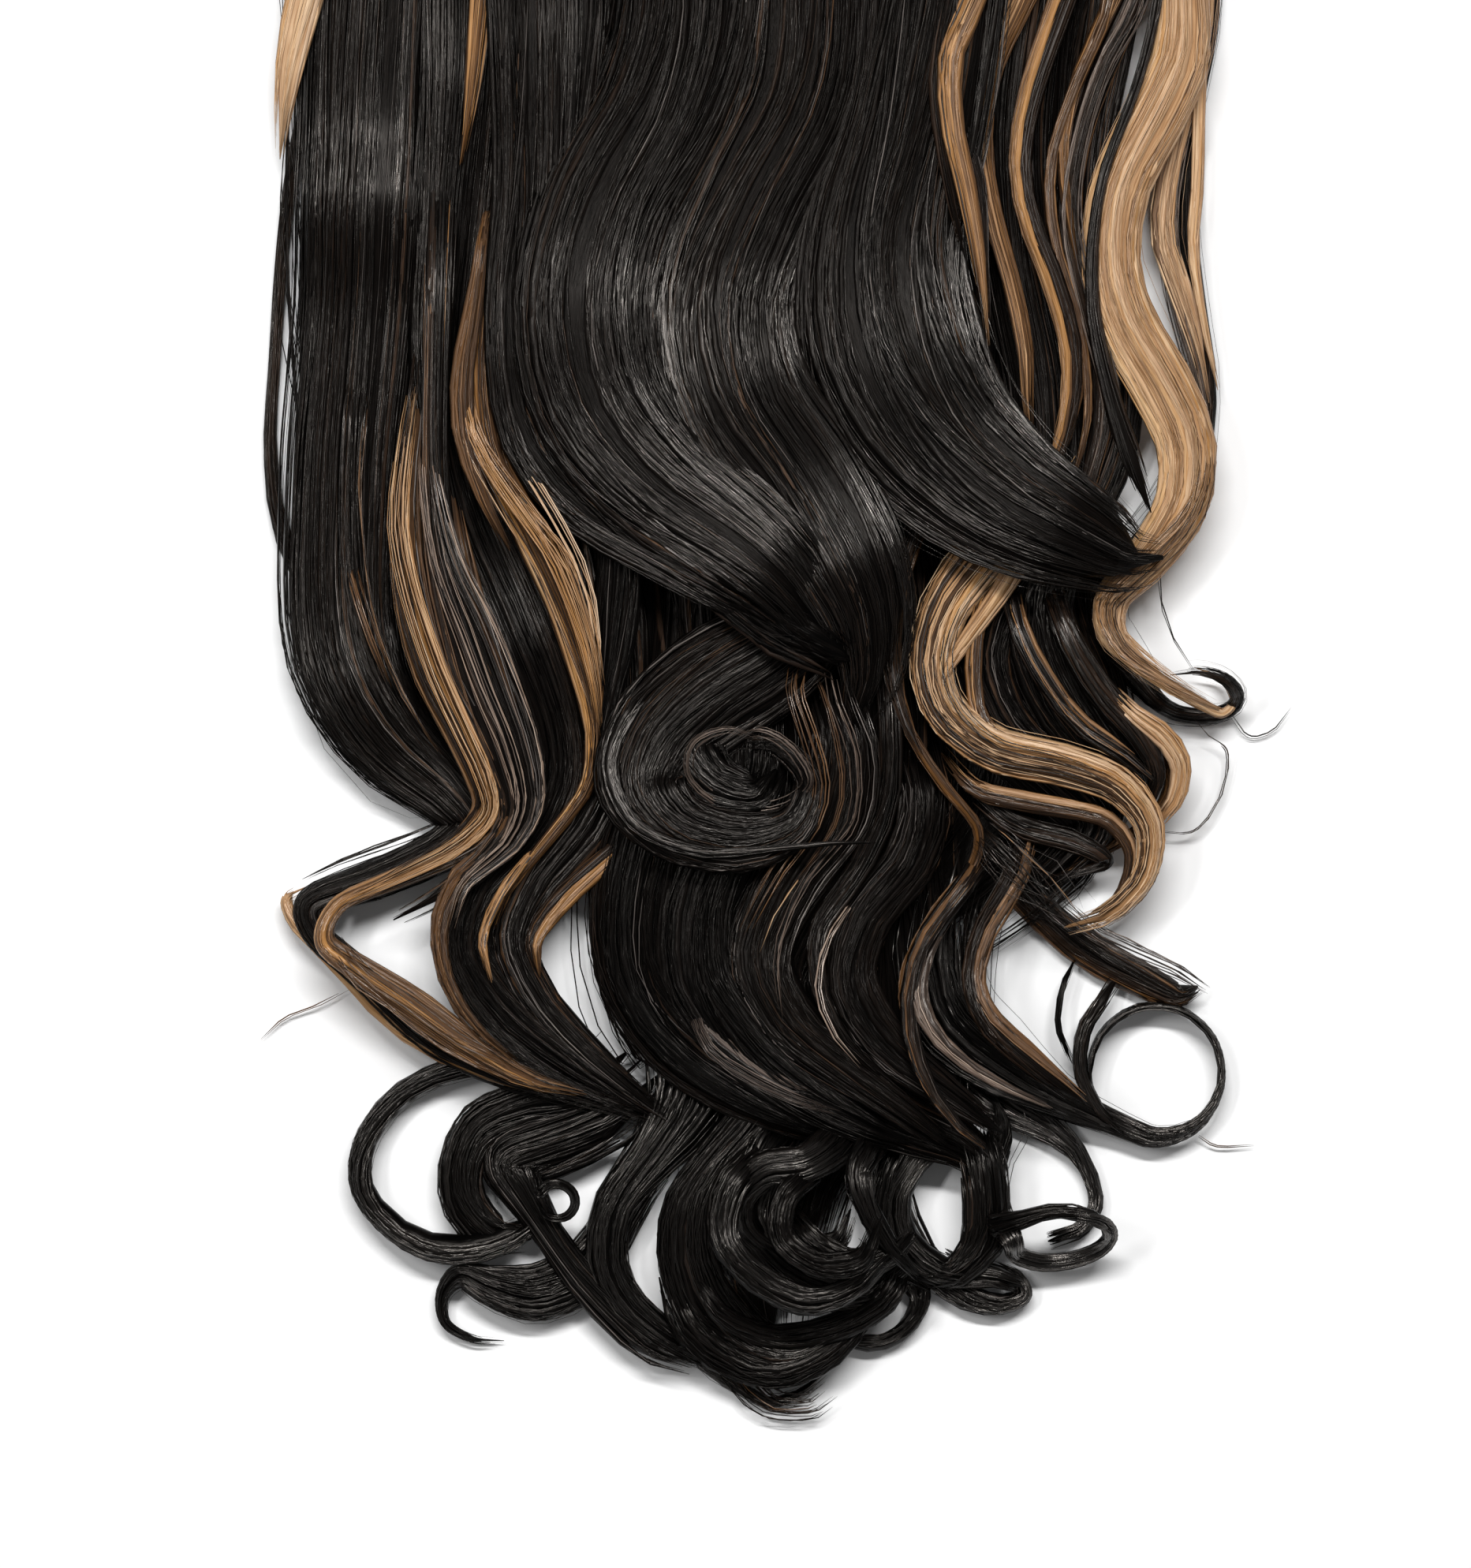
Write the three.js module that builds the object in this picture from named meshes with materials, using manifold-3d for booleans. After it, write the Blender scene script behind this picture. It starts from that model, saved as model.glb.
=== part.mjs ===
// A one-piece clip-in hair extension, lying face up: a sewn weft with five snap clips under it, and long
// waved dark hair with caramel highlight locks that ends in ringlets.
// Millimetres, +Z up. The origin is the middle of the underside of the middle clip, and the hair runs
// towards -Y.
import * as THREE from "three";
import { mergeVertices } from "three/addons/utils/BufferGeometryUtils.js";
import Module from "manifold-3d";

const wasm = await Module();
wasm.setup();

// Driving dimensions
const WEFT_WIDTH = 260; // across the sewn weft
const HAIR_LENGTH = 532; // from the weft to the lowest tip, as the waved hair lies
const CLEARANCE = 0.4; // between neighbouring pieces

const CLIP_COUNT = 5;
const CLIP_WIDTH = 32;
const CLIP_DEPTH = 13;
const CLIP_PLATE = 1.2; // thickness of the comb plate
const CLIP_BOW = 1.6; // height of the sprung bow above the plate
const CLIP_CORNER = 3;
const CLIP_TEETH = 5;
const CLIP_SLOT = 1.2; // width of the gap between two teeth
const CLIP_SLOT_LENGTH = 6;
const CLIP_INSET = 20; // from the weft's end to the middle of the last clip

const BAND_DEPTH = 14; // the sewn tape that carries the clips and the wefts
const BAND_THICKNESS = 2;

const TRACK_DEPTH = 4; // the sewn head of each weft
const TRACK_HEIGHT = 2.2;

const LOCK_THICKNESS = 10; // of a full lock
const PILE_HEIGHT = 16; // how high the top locks lie over the surface, where the hair is thickest
const WAVE_LIFT = 10; // how far a lock rises where its wave runs towards +X
const CURL_RADIUS = 19; // the ringlets, from a 38 mm curling rod
const ROOT_SHARE = 0.16; // the share of the length over which a lock grows from weft to full thickness

const SIDES = 6; // of a lock's section
const ROUNDEST = 1.1; // the most that a lock's thickness is to its width
const MOST_TURN = THREE.MathUtils.degToRad(40); // between two sections of a lock
const CURL_STEP = 40; // degrees between two chosen points of a ringlet
const SMOOTHING = 0.1; // how far a face may shift where small cut faces are merged

// Heights of the stacked pieces at the weft
const BAND_BOTTOM = CLIP_PLATE + CLIP_BOW + CLEARANCE;
const TRACK_BOTTOM = BAND_BOTTOM + BAND_THICKNESS + CLEARANCE;
const TRACK_PITCH = TRACK_HEIGHT + CLEARANCE;
const HALF_WIDTH = WEFT_WIDTH / 2;

const DARK = { color: 0x1d1715, roughness: 0.42, metalness: 0 };
const CARAMEL = { color: 0xb47a4a, roughness: 0.42, metalness: 0 };
const PALE = { color: 0xd9b58a, roughness: 0.42, metalness: 0 };
const BROWN = { color: 0x6b4426, roughness: 0.42, metalness: 0 };
const TAPE = { color: 0x16120f, roughness: 0.9, metalness: 0 };
const STEEL = { color: 0x2a2422, roughness: 0.35, metalness: 0.6 };

// The hair as rows of locks. A fold is [down, across, wide]: down is a share of HAIR_LENGTH, and across and
// wide are shares of HALF_WIDTH. level is the share of PILE_HEIGHT that the lock lies at, thick is a share
// of LOCK_THICKNESS, and roll is how far, in degrees, the lock has turned on edge at its tip. A curl is a
// ringlet at the tip: size is a share of CURL_RADIUS, and tilt, turn, start and sweep are degrees.
const TOP_LOCKS = [
  { name: "front_sweep", level: 1, thick: 0.9, roll: 0, folds: [
    [0, 0.44, 0.3], [0.15, 0.42, 0.3], [0.27, 0.37, 0.3], [0.33, 0.33, 0.3], [0.39, 0.28, 0.32],
    [0.44, 0.3, 0.36], [0.485, 0.39, 0.33], [0.52, 0.54, 0.28], [0.543, 0.71, 0.21],
    [0.554, 0.82, 0.13], [0.552, 0.875, 0.06]] },
  { name: "centre_wave", level: 1, thick: 0.9, roll: 0, folds: [
    [0, 0.14, 0.28], [0.15, 0.13, 0.28], [0.27, 0.16, 0.27], [0.32, 0.13, 0.26], [0.37, 0.03, 0.26],
    [0.42, -0.04, 0.28], [0.47, -0.01, 0.28], [0.515, 0.11, 0.26], [0.555, 0.2, 0.24],
    [0.585, 0.25, 0.19], [0.615, 0.255, 0.13], [0.64, 0.22, 0.05]] },
  { name: "centre_swirl", level: 0.85, thick: 0.9, roll: 0, folds: [
    [0.545, 0.16, 0.1], [0.575, 0.15, 0.2], [0.6, 0.05, 0.24], [0.62, -0.08, 0.25],
    [0.645, -0.19, 0.22], [0.67, -0.22, 0.17], [0.692, -0.15, 0.13], [0.7, -0.01, 0.11],
    [0.69, 0.1, 0.08], [0.668, 0.13, 0.06], [0.65, 0.06, 0.045], [0.65, -0.05, 0.035]] },
  { name: "front_left_wave", level: 0.95, thick: 0.9, roll: 0, folds: [
    [0, -0.16, 0.3], [0.15, -0.16, 0.3], [0.27, -0.12, 0.3], [0.32, -0.17, 0.3], [0.37, -0.28, 0.3],
    [0.42, -0.33, 0.3], [0.47, -0.3, 0.3], [0.51, -0.18, 0.27], [0.54, -0.02, 0.23],
    [0.565, 0.09, 0.19], [0.588, 0.15, 0.13], [0.61, 0.16, 0.05]] },
  { name: "front_left_inner", level: 0.8, thick: 0.8, roll: 0, folds: [
    [0, -0.44, 0.26], [0.15, -0.43, 0.26], [0.28, -0.42, 0.26], [0.36, -0.43, 0.22],
    [0.43, -0.46, 0.18], [0.485, -0.43, 0.18], [0.517, -0.33, 0.19], [0.54, -0.18, 0.19],
    [0.562, -0.05, 0.16], [0.58, 0.05, 0.11], [0.595, 0.12, 0.05]] },
];

const UNDER_LOCKS = [
  { name: "back_left", level: 0, thick: 1, roll: 0, folds: [
    [0, -0.66, 0.66], [0.3, -0.66, 0.64], [0.56, -0.66, 0.64], [0.62, -0.62, 0.58], [0.66, -0.5, 0.4],
    [0.71, -0.42, 0.2]] },
  { name: "back_centre", level: 0, thick: 1, roll: 0, folds: [
    [0, 0, 0.8], [0.3, 0, 0.8], [0.66, 0.06, 0.8], [0.76, 0.08, 0.82], [0.82, 0.12, 0.66],
    [0.86, 0.06, 0.36], [0.92, 0.02, 0.32], [0.96, 0.04, 0.24], [0.976, 0.05, 0.12]] },
  { name: "back_right", level: 0, thick: 0.9, roll: 0, folds: [
    [0, 0.68, 0.6], [0.2, 0.64, 0.5], [0.28, 0.59, 0.38], [0.58, 0.56, 0.38], [0.62, 0.58, 0.46],
    [0.655, 0.6, 0.5], [0.69, 0.56, 0.48], [0.75, 0.34, 0.3]] },
  { name: "left_outer", level: 0.16, thick: 1, roll: 0, folds: [
    [0, -0.78, 0.3], [0.2, -0.79, 0.3], [0.3, -0.81, 0.28], [0.42, -0.83, 0.25], [0.52, -0.86, 0.24],
    [0.6, -0.85, 0.24], [0.645, -0.76, 0.2], [0.675, -0.63, 0.14], [0.69, -0.59, 0.11],
    [0.703, -0.64, 0.1], [0.72, -0.79, 0.09], [0.733, -0.93, 0.07], [0.746, -0.92, 0.06],
    [0.77, -0.81, 0.07], [0.799, -0.68, 0.08], [0.818, -0.52, 0.08], [0.833, -0.34, 0.06],
    [0.844, -0.18, 0.05], [0.85, -0.06, 0.03]] },
  { name: "left_inner_fall", level: 0.3, thick: 0.9, roll: 0, folds: [
    [0, -0.58, 0.24], [0.2, -0.58, 0.24], [0.3, -0.59, 0.22], [0.38, -0.62, 0.2], [0.45, -0.64, 0.18],
    [0.52, -0.6, 0.18], [0.58, -0.5, 0.2], [0.63, -0.42, 0.2], [0.665, -0.4, 0.18],
    [0.695, -0.45, 0.17], [0.725, -0.56, 0.14], [0.755, -0.59, 0.13], [0.785, -0.52, 0.14],
    [0.81, -0.4, 0.12], [0.832, -0.26, 0.07], [0.845, -0.17, 0.03]] },
  { name: "left_second_fall", level: 0.3, thick: 0.9, roll: 0, folds: [
    [0.5, -0.35, 0.18], [0.6, -0.28, 0.14], [0.655, -0.3, 0.14], [0.69, -0.35, 0.14],
    [0.72, -0.45, 0.12], [0.75, -0.5, 0.1], [0.78, -0.45, 0.1], [0.805, -0.36, 0.09],
    [0.83, -0.24, 0.06], [0.845, -0.16, 0.03]] },
  { name: "right_inner_fall", level: 0.3, thick: 0.9, roll: 0, folds: [
    [0, 0.64, 0.22], [0.2, 0.62, 0.2], [0.28, 0.58, 0.18], [0.33, 0.56, 0.18], [0.4, 0.58, 0.16],
    [0.47, 0.63, 0.16], [0.53, 0.62, 0.16], [0.57, 0.52, 0.16], [0.605, 0.48, 0.16], [0.64, 0.53, 0.14],
    [0.668, 0.64, 0.14], [0.69, 0.72, 0.12], [0.71, 0.66, 0.1], [0.73, 0.56, 0.06]] },
  { name: "right_outer_fall", level: 0.2, thick: 0.8, roll: 0, folds: [
    [0, 0.82, 0.14], [0.2, 0.81, 0.14], [0.28, 0.77, 0.12], [0.34, 0.72, 0.13], [0.4, 0.72, 0.14],
    [0.45, 0.77, 0.14], [0.49, 0.77, 0.12], [0.53, 0.7, 0.12], [0.57, 0.6, 0.12], [0.6, 0.54, 0.09],
    [0.63, 0.55, 0.06]] },
  { name: "lower_centre_wave", level: 0.3, thick: 1.1, roll: 0, folds: [
    [0.55, 0.26, 0.22], [0.6, 0.26, 0.22], [0.66, 0.26, 0.24], [0.7, 0.2, 0.26], [0.735, 0.1, 0.26],
    [0.77, 0.04, 0.26], [0.8, 0.09, 0.24], [0.828, 0.22, 0.18], [0.847, 0.36, 0.12],
    [0.858, 0.46, 0.09], [0.872, 0.515, 0.06], [0.888, 0.525, 0.04]] },
  { name: "lower_left_wave", level: 0.3, thick: 1, roll: 0, folds: [
    [0.6, -0.1, 0.22], [0.65, -0.14, 0.22], [0.69, -0.2, 0.22], [0.73, -0.23, 0.22],
    [0.765, -0.22, 0.22], [0.795, -0.15, 0.21], [0.82, -0.03, 0.19], [0.84, 0.1, 0.13],
    [0.852, 0.22, 0.06]] },
  { name: "left_rim", level: 0, thick: 0.3, roll: 0, folds: [
    [0.24, -0.84, 0.05], [0.34, -0.965, 0.03], [0.455, -1.012, 0.025], [0.5, -1.02, 0.03],
    [0.54, -0.995, 0.035], [0.6, -0.86, 0.06]] },
  { name: "left_ring", level: 0.1, thick: 0.9, roll: 40, folds: [
    [0.81, -0.38, 0.09], [0.813, -0.5, 0.07], [0.818, -0.63, 0.055], [0.832, -0.745, 0.05],
    [0.856, -0.815, 0.05], [0.878, -0.82, 0.05], [0.896, -0.77, 0.05], [0.909, -0.68, 0.06],
    [0.91, -0.58, 0.07], [0.9, -0.48, 0.06], [0.889, -0.44, 0.04]] },
  { name: "left_lobe", level: 0.1, thick: 0.9, roll: 0, folds: [
    [0.81, -0.26, 0.14], [0.83, -0.36, 0.12], [0.836, -0.47, 0.1], [0.848, -0.57, 0.1],
    [0.868, -0.61, 0.1], [0.888, -0.6, 0.11], [0.904, -0.54, 0.1], [0.906, -0.46, 0.06]] },
  { name: "left_lobe_inner", level: 0.2, thick: 0.8, roll: 0, folds: [
    [0.82, -0.18, 0.14], [0.842, -0.28, 0.14], [0.856, -0.4, 0.15], [0.867, -0.5, 0.14],
    [0.885, -0.47, 0.08], [0.905, -0.42, 0.06], [0.925, -0.36, 0.08], [0.945, -0.28, 0.09],
    [0.962, -0.2, 0.09], [0.971, -0.1, 0.06]] },
  { name: "low_left_lobe", level: 0.05, thick: 0.8, roll: 20, folds: [
    [0.84, -0.06, 0.12], [0.87, -0.2, 0.09], [0.9, -0.28, 0.1], [0.924, -0.35, 0.13],
    [0.935, -0.45, 0.14], [0.931, -0.55, 0.1], [0.926, -0.615, 0.05], [0.936, -0.65, 0.026],
    [0.95, -0.645, 0.022], [0.959, -0.585, 0.02], [0.96, -0.52, 0.012]] },
  { name: "low_centre_left", level: 0.2, thick: 0.9, roll: 0, folds: [
    [0.8, -0.1, 0.3], [0.835, -0.13, 0.18], [0.861, -0.2, 0.1], [0.889, -0.285, 0.09],
    [0.917, -0.3, 0.09], [0.939, -0.26, 0.09], [0.956, -0.18, 0.08], [0.967, -0.1, 0.06]] },
  { name: "low_centre", level: 0.35, thick: 0.9, roll: 0, folds: [
    [0.8, 0.04, 0.2], [0.84, 0.02, 0.14], [0.863, -0.06, 0.1], [0.886, -0.12, 0.12],
    [0.913, -0.13, 0.14], [0.94, -0.09, 0.15], [0.962, 0, 0.14], [0.968, 0.1, 0.1], [0.955, 0.2, 0.08],
    [0.935, 0.27, 0.06], [0.912, 0.28, 0.04]] },
  { name: "low_arc", level: 0.6, thick: 0.8, roll: 0, folds: [
    [0.84, 0.1, 0.12], [0.866, 0.03, 0.1], [0.89, 0, 0.09], [0.912, 0.04, 0.09], [0.93, 0.14, 0.08],
    [0.933, 0.25, 0.07], [0.918, 0.34, 0.05]] },
  { name: "tip_wisp", level: 0, thick: 0.4, roll: 20, folds: [
    [0.94, -0.14, 0.06], [0.968, -0.1, 0.04], [0.984, -0.02, 0.03], [0.992, 0.05, 0.025],
    [0.986, 0.12, 0.018], [0.976, 0.17, 0.012]] },
  { name: "low_centre_ring", level: 0.5, thick: 0.8, roll: 20, folds: [
    [0.82, 0.16, 0.14], [0.846, 0.21, 0.12]],
    curl: { down: 0.889, across: 0.1, size: 0.8, tilt: 30, turn: 0,
      start: 80, sweep: 280, wide: 0.08, thick: 0.8 } },
  { name: "right_ring_a", level: 0.15, thick: 0.9, roll: 30, folds: [
    [0.81, 0.42, 0.14], [0.842, 0.42, 0.12], [0.862, 0.36, 0.075], [0.884, 0.32, 0.06],
    [0.905, 0.335, 0.06], [0.92, 0.4, 0.07], [0.924, 0.48, 0.06]] },
  { name: "right_band", level: 0.25, thick: 0.8, roll: 30, folds: [
    [0.82, 0.5, 0.16], [0.845, 0.54, 0.14], [0.865, 0.52, 0.08], [0.885, 0.515, 0.08]],
    curl: { down: 0.909, across: 0.66, size: 0.76, tilt: 60, turn: 6,
      start: 170, sweep: 290, wide: 0.06, thick: 0.6 } },
  { name: "right_thin_ring", level: 0, thick: 0.6, roll: 30, folds: [
    [0.8, 0.4, 0.14], [0.83, 0.52, 0.12], [0.848, 0.64, 0.07], [0.861, 0.7, 0.035],
    [0.876, 0.735, 0.028], [0.89, 0.742, 0.028], [0.902, 0.71, 0.035], [0.908, 0.64, 0.04]] },
  { name: "right_low_lobe", level: 0, thick: 0.7, roll: 20, folds: [
    [0.88, 0.28, 0.14], [0.905, 0.33, 0.1], [0.926, 0.4, 0.07], [0.938, 0.48, 0.06],
    [0.943, 0.55, 0.05], [0.938, 0.588, 0.04], [0.926, 0.57, 0.035], [0.919, 0.51, 0.03]] },
  { name: "right_low_ring", level: 0, thick: 0.6, roll: 30, folds: [
    [0.9, 0.26, 0.16], [0.922, 0.335, 0.08], [0.938, 0.368, 0.045], [0.952, 0.345, 0.035],
    [0.961, 0.29, 0.035], [0.96, 0.22, 0.04], [0.952, 0.17, 0.04]] },
  { name: "ringlet_fall", level: 0.2, thick: 0.9, roll: 80, folds: [
    [0.7, 0.46, 0.2], [0.755, 0.4, 0.2], [0.79, 0.43, 0.18], [0.82, 0.54, 0.15], [0.838, 0.66, 0.1]],
    curl: { down: 0.821, across: 0.868, size: 0.98, tilt: 0, turn: 0,
      start: 232, sweep: 350, wide: 0.09, thick: 0.35 } },
  { name: "right_edge", level: 0, thick: 0.6, roll: 20, folds: [
    [0, 0.96, 0.08], [0.2, 0.975, 0.06], [0.27, 0.985, 0.05], [0.32, 0.958, 0.035], [0.37, 0.95, 0.035],
    [0.42, 0.965, 0.05], [0.46, 0.985, 0.06], [0.5, 0.965, 0.08], [0.54, 0.9, 0.09], [0.57, 0.78, 0.11],
    [0.59, 0.75, 0.12], [0.61, 0.82, 0.08]],
    curl: { down: 0.623, across: 0.95, size: 0.6, tilt: 60, turn: -8,
      start: 215, sweep: 280, wide: 0.045, thick: 0.5 } },
  { name: "right_roll", level: 0, thick: 0.6, roll: 10, folds: [
    [0.7, 0.5, 0.1], [0.735, 0.62, 0.07], [0.757, 0.73, 0.08], [0.77, 0.83, 0.08], [0.78, 0.92, 0.06],
    [0.775, 0.96, 0.035]] },
];

const CARAMEL_LOCKS = [
  { name: "caramel_right_big", material: CARAMEL, level: 0.62, thick: 0.8, roll: 0, folds: [
    [0, 0.84, 0.1], [0.15, 0.88, 0.11], [0.26, 0.92, 0.12], [0.295, 0.915, 0.14], [0.325, 0.86, 0.14],
    [0.36, 0.79, 0.13], [0.4, 0.77, 0.13], [0.43, 0.8, 0.14], [0.465, 0.88, 0.15], [0.495, 0.93, 0.14],
    [0.525, 0.92, 0.13], [0.552, 0.85, 0.11], [0.574, 0.77, 0.08], [0.593, 0.77, 0.07],
    [0.61, 0.84, 0.06], [0.624, 0.93, 0.05], [0.631, 1, 0.03]] },
  { name: "caramel_right_a", material: CARAMEL, level: 0.98, thick: 0.5, roll: 0, folds: [
    [0, 0.54, 0.06], [0.15, 0.56, 0.07], [0.25, 0.52, 0.08], [0.28, 0.465, 0.06], [0.305, 0.44, 0.055],
    [0.335, 0.45, 0.055], [0.365, 0.48, 0.05], [0.4, 0.49, 0.04], [0.425, 0.5, 0.03],
    [0.445, 0.505, 0.012]] },
  { name: "caramel_right_b", material: CARAMEL, level: 0.8, thick: 0.5, roll: 0, folds: [
    [0, 0.62, 0.06], [0.15, 0.64, 0.07], [0.25, 0.6, 0.08], [0.28, 0.545, 0.07], [0.31, 0.5, 0.065],
    [0.345, 0.495, 0.055], [0.38, 0.52, 0.055], [0.41, 0.555, 0.055], [0.445, 0.585, 0.055],
    [0.475, 0.59, 0.04], [0.495, 0.6, 0.015]] },
  { name: "caramel_right_c", material: CARAMEL, level: 0.75, thick: 0.5, roll: 0, folds: [
    [0, 0.71, 0.05], [0.15, 0.72, 0.06], [0.25, 0.68, 0.06], [0.28, 0.64, 0.06], [0.31, 0.6, 0.055],
    [0.345, 0.575, 0.05], [0.375, 0.59, 0.05], [0.41, 0.645, 0.055], [0.445, 0.685, 0.055],
    [0.48, 0.68, 0.05], [0.51, 0.64, 0.04], [0.53, 0.6, 0.02]] },
  { name: "caramel_right_d", material: BROWN, level: 0.66, thick: 0.4, roll: 0, folds: [
    [0, 0.79, 0.03], [0.15, 0.81, 0.04], [0.25, 0.79, 0.04], [0.28, 0.74, 0.035], [0.31, 0.69, 0.03],
    [0.345, 0.665, 0.03], [0.38, 0.68, 0.025], [0.41, 0.7, 0.012]] },
  { name: "caramel_right_rim", material: PALE, level: 0.25, thick: 0.5, roll: 0, folds: [
    [0, 0.91, 0.04], [0.15, 0.95, 0.04], [0.27, 0.975, 0.035], [0.32, 0.93, 0.04], [0.355, 0.895, 0.05],
    [0.385, 0.885, 0.06], [0.41, 0.915, 0.06], [0.44, 0.955, 0.05], [0.475, 0.985, 0.02]] },
  { name: "caramel_s", material: CARAMEL, level: 0.72, thick: 0.7, roll: 0, folds: [
    [0.48, 0.74, 0.05], [0.515, 0.64, 0.09], [0.55, 0.5, 0.13], [0.578, 0.415, 0.11],
    [0.607, 0.385, 0.09], [0.632, 0.415, 0.09], [0.652, 0.52, 0.095], [0.66, 0.66, 0.09],
    [0.671, 0.78, 0.08], [0.692, 0.845, 0.06], [0.718, 0.835, 0.05], [0.737, 0.76, 0.055],
    [0.744, 0.67, 0.04]] },
  { name: "caramel_thin", material: BROWN, level: 0.85, thick: 0.4, roll: 0, folds: [
    [0.5, 0.44, 0.03], [0.54, 0.36, 0.05], [0.57, 0.32, 0.05], [0.605, 0.31, 0.045],
    [0.64, 0.335, 0.04], [0.67, 0.41, 0.04], [0.693, 0.485, 0.035], [0.71, 0.48, 0.04],
    [0.735, 0.4, 0.045], [0.77, 0.33, 0.04], [0.8, 0.345, 0.035], [0.825, 0.4, 0.03],
    [0.845, 0.48, 0.015]] },
  { name: "caramel_right_lobe", material: CARAMEL, level: 0.3, thick: 0.6, roll: 0, folds: [
    [0.5, 0.7, 0.05], [0.57, 0.68, 0.05], [0.6, 0.69, 0.06], [0.628, 0.78, 0.08], [0.648, 0.87, 0.09],
    [0.667, 0.905, 0.09], [0.686, 0.87, 0.07], [0.7, 0.79, 0.05], [0.715, 0.68, 0.03],
    [0.725, 0.62, 0.015]] },
  { name: "caramel_left_long", material: CARAMEL, level: 0.78, thick: 0.6, roll: 0, folds: [
    [0.33, -0.545, 0.012], [0.375, -0.535, 0.04], [0.42, -0.56, 0.07], [0.46, -0.568, 0.08],
    [0.5, -0.545, 0.08], [0.54, -0.465, 0.1], [0.58, -0.385, 0.12], [0.612, -0.345, 0.11],
    [0.64, -0.325, 0.06], [0.67, -0.34, 0.045], [0.7, -0.43, 0.04], [0.725, -0.51, 0.03],
    [0.745, -0.54, 0.015]] },
  { name: "caramel_left_outer", material: CARAMEL, level: 0.68, thick: 0.6, roll: 0, folds: [
    [0.42, -0.685, 0.015], [0.47, -0.695, 0.05], [0.53, -0.72, 0.08], [0.57, -0.712, 0.09],
    [0.61, -0.67, 0.1], [0.65, -0.59, 0.1], [0.68, -0.55, 0.09], [0.702, -0.6, 0.09],
    [0.722, -0.73, 0.07], [0.738, -0.87, 0.06], [0.753, -0.89, 0.06], [0.772, -0.81, 0.07],
    [0.791, -0.7, 0.09], [0.807, -0.6, 0.08], [0.822, -0.47, 0.06], [0.83, -0.34, 0.02]] },
  { name: "caramel_left_stripes", material: BROWN, level: 0.8, thick: 0.5, roll: 0, folds: [
    [0.49, -0.645, 0.02], [0.54, -0.63, 0.07], [0.585, -0.595, 0.1], [0.63, -0.535, 0.1],
    [0.67, -0.495, 0.09], [0.698, -0.52, 0.07], [0.718, -0.61, 0.05], [0.74, -0.65, 0.04],
    [0.768, -0.64, 0.03], [0.795, -0.575, 0.03], [0.815, -0.48, 0.02]] },
  { name: "caramel_left_tip", material: CARAMEL, level: 0.64, thick: 0.4, roll: 0, folds: [
    [0.64, -0.16, 0.03], [0.685, -0.2, 0.04], [0.708, -0.3, 0.05], [0.73, -0.4, 0.055],
    [0.75, -0.45, 0.04], [0.77, -0.44, 0.02]] },
  { name: "caramel_left_rim", material: PALE, level: 0.2, thick: 0.5, roll: 0, folds: [
    [0, -0.82, 0.06], [0.15, -0.85, 0.08], [0.25, -0.925, 0.09], [0.29, -0.965, 0.07],
    [0.32, -0.985, 0.04], [0.345, -0.995, 0.015]] },
  { name: "caramel_top_left", material: BROWN, level: 0.7, thick: 0.4, roll: 0, folds: [
    [0, -0.52, 0.04], [0.15, -0.54, 0.05], [0.25, -0.56, 0.06], [0.29, -0.575, 0.05],
    [0.32, -0.59, 0.035], [0.35, -0.61, 0.015]] },
  { name: "caramel_low_centre", material: BROWN, level: 0.75, thick: 0.4, roll: 0, folds: [
    [0.7, -0.02, 0.03], [0.76, -0.12, 0.03], [0.79, -0.1, 0.04], [0.81, -0.02, 0.06],
    [0.825, 0.08, 0.05], [0.832, 0.18, 0.015]] },
];

// How high the pile of hair is at a place, as a share: full over the body, low past its sides and tips
function pileShare(across, down) {
  const side = 1 - THREE.MathUtils.smoothstep(Math.abs(across), 0.9, 1.08);
  const tips = 1 - 0.75 * THREE.MathUtils.smoothstep(down, 0.84, 1);
  return side * tips;
}

// A ringlet as further folds, stepped round its circle. Its tilt shortens it on the surface and raises it.
function curlFolds(curl) {
  const radius = curl.size * CURL_RADIUS;
  const [tilt, turn] = [curl.tilt, curl.turn].map(THREE.MathUtils.degToRad);
  const steps = Math.round(Math.abs(curl.sweep) / CURL_STEP);
  return Array.from({ length: steps + 1 }, (_, i) => {
    const angle = THREE.MathUtils.degToRad(curl.start + (curl.sweep * i) / steps);
    const along = radius * Math.cos(angle);
    const aside = radius * Math.sin(angle) * Math.cos(tilt);
    return {
      down: curl.down - (along * Math.sin(turn) + aside * Math.cos(turn)) / HAIR_LENGTH,
      across: curl.across + (along * Math.cos(turn) - aside * Math.sin(turn)) / HALF_WIDTH,
      wide: curl.wide * (i === steps ? 0.5 : 1),
      thick: curl.thick,
      rise: radius * Math.sin(tilt) * (1 + Math.sin(angle)),
    };
  });
}

function foldsOf(lock) {
  const { thick } = lock;
  const folds = lock.folds.map(([down, across, wide]) => ({ down, across, wide, rise: 0, thick }));
  return lock.curl ? folds.concat(curlFolds(lock.curl)) : folds;
}

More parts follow.
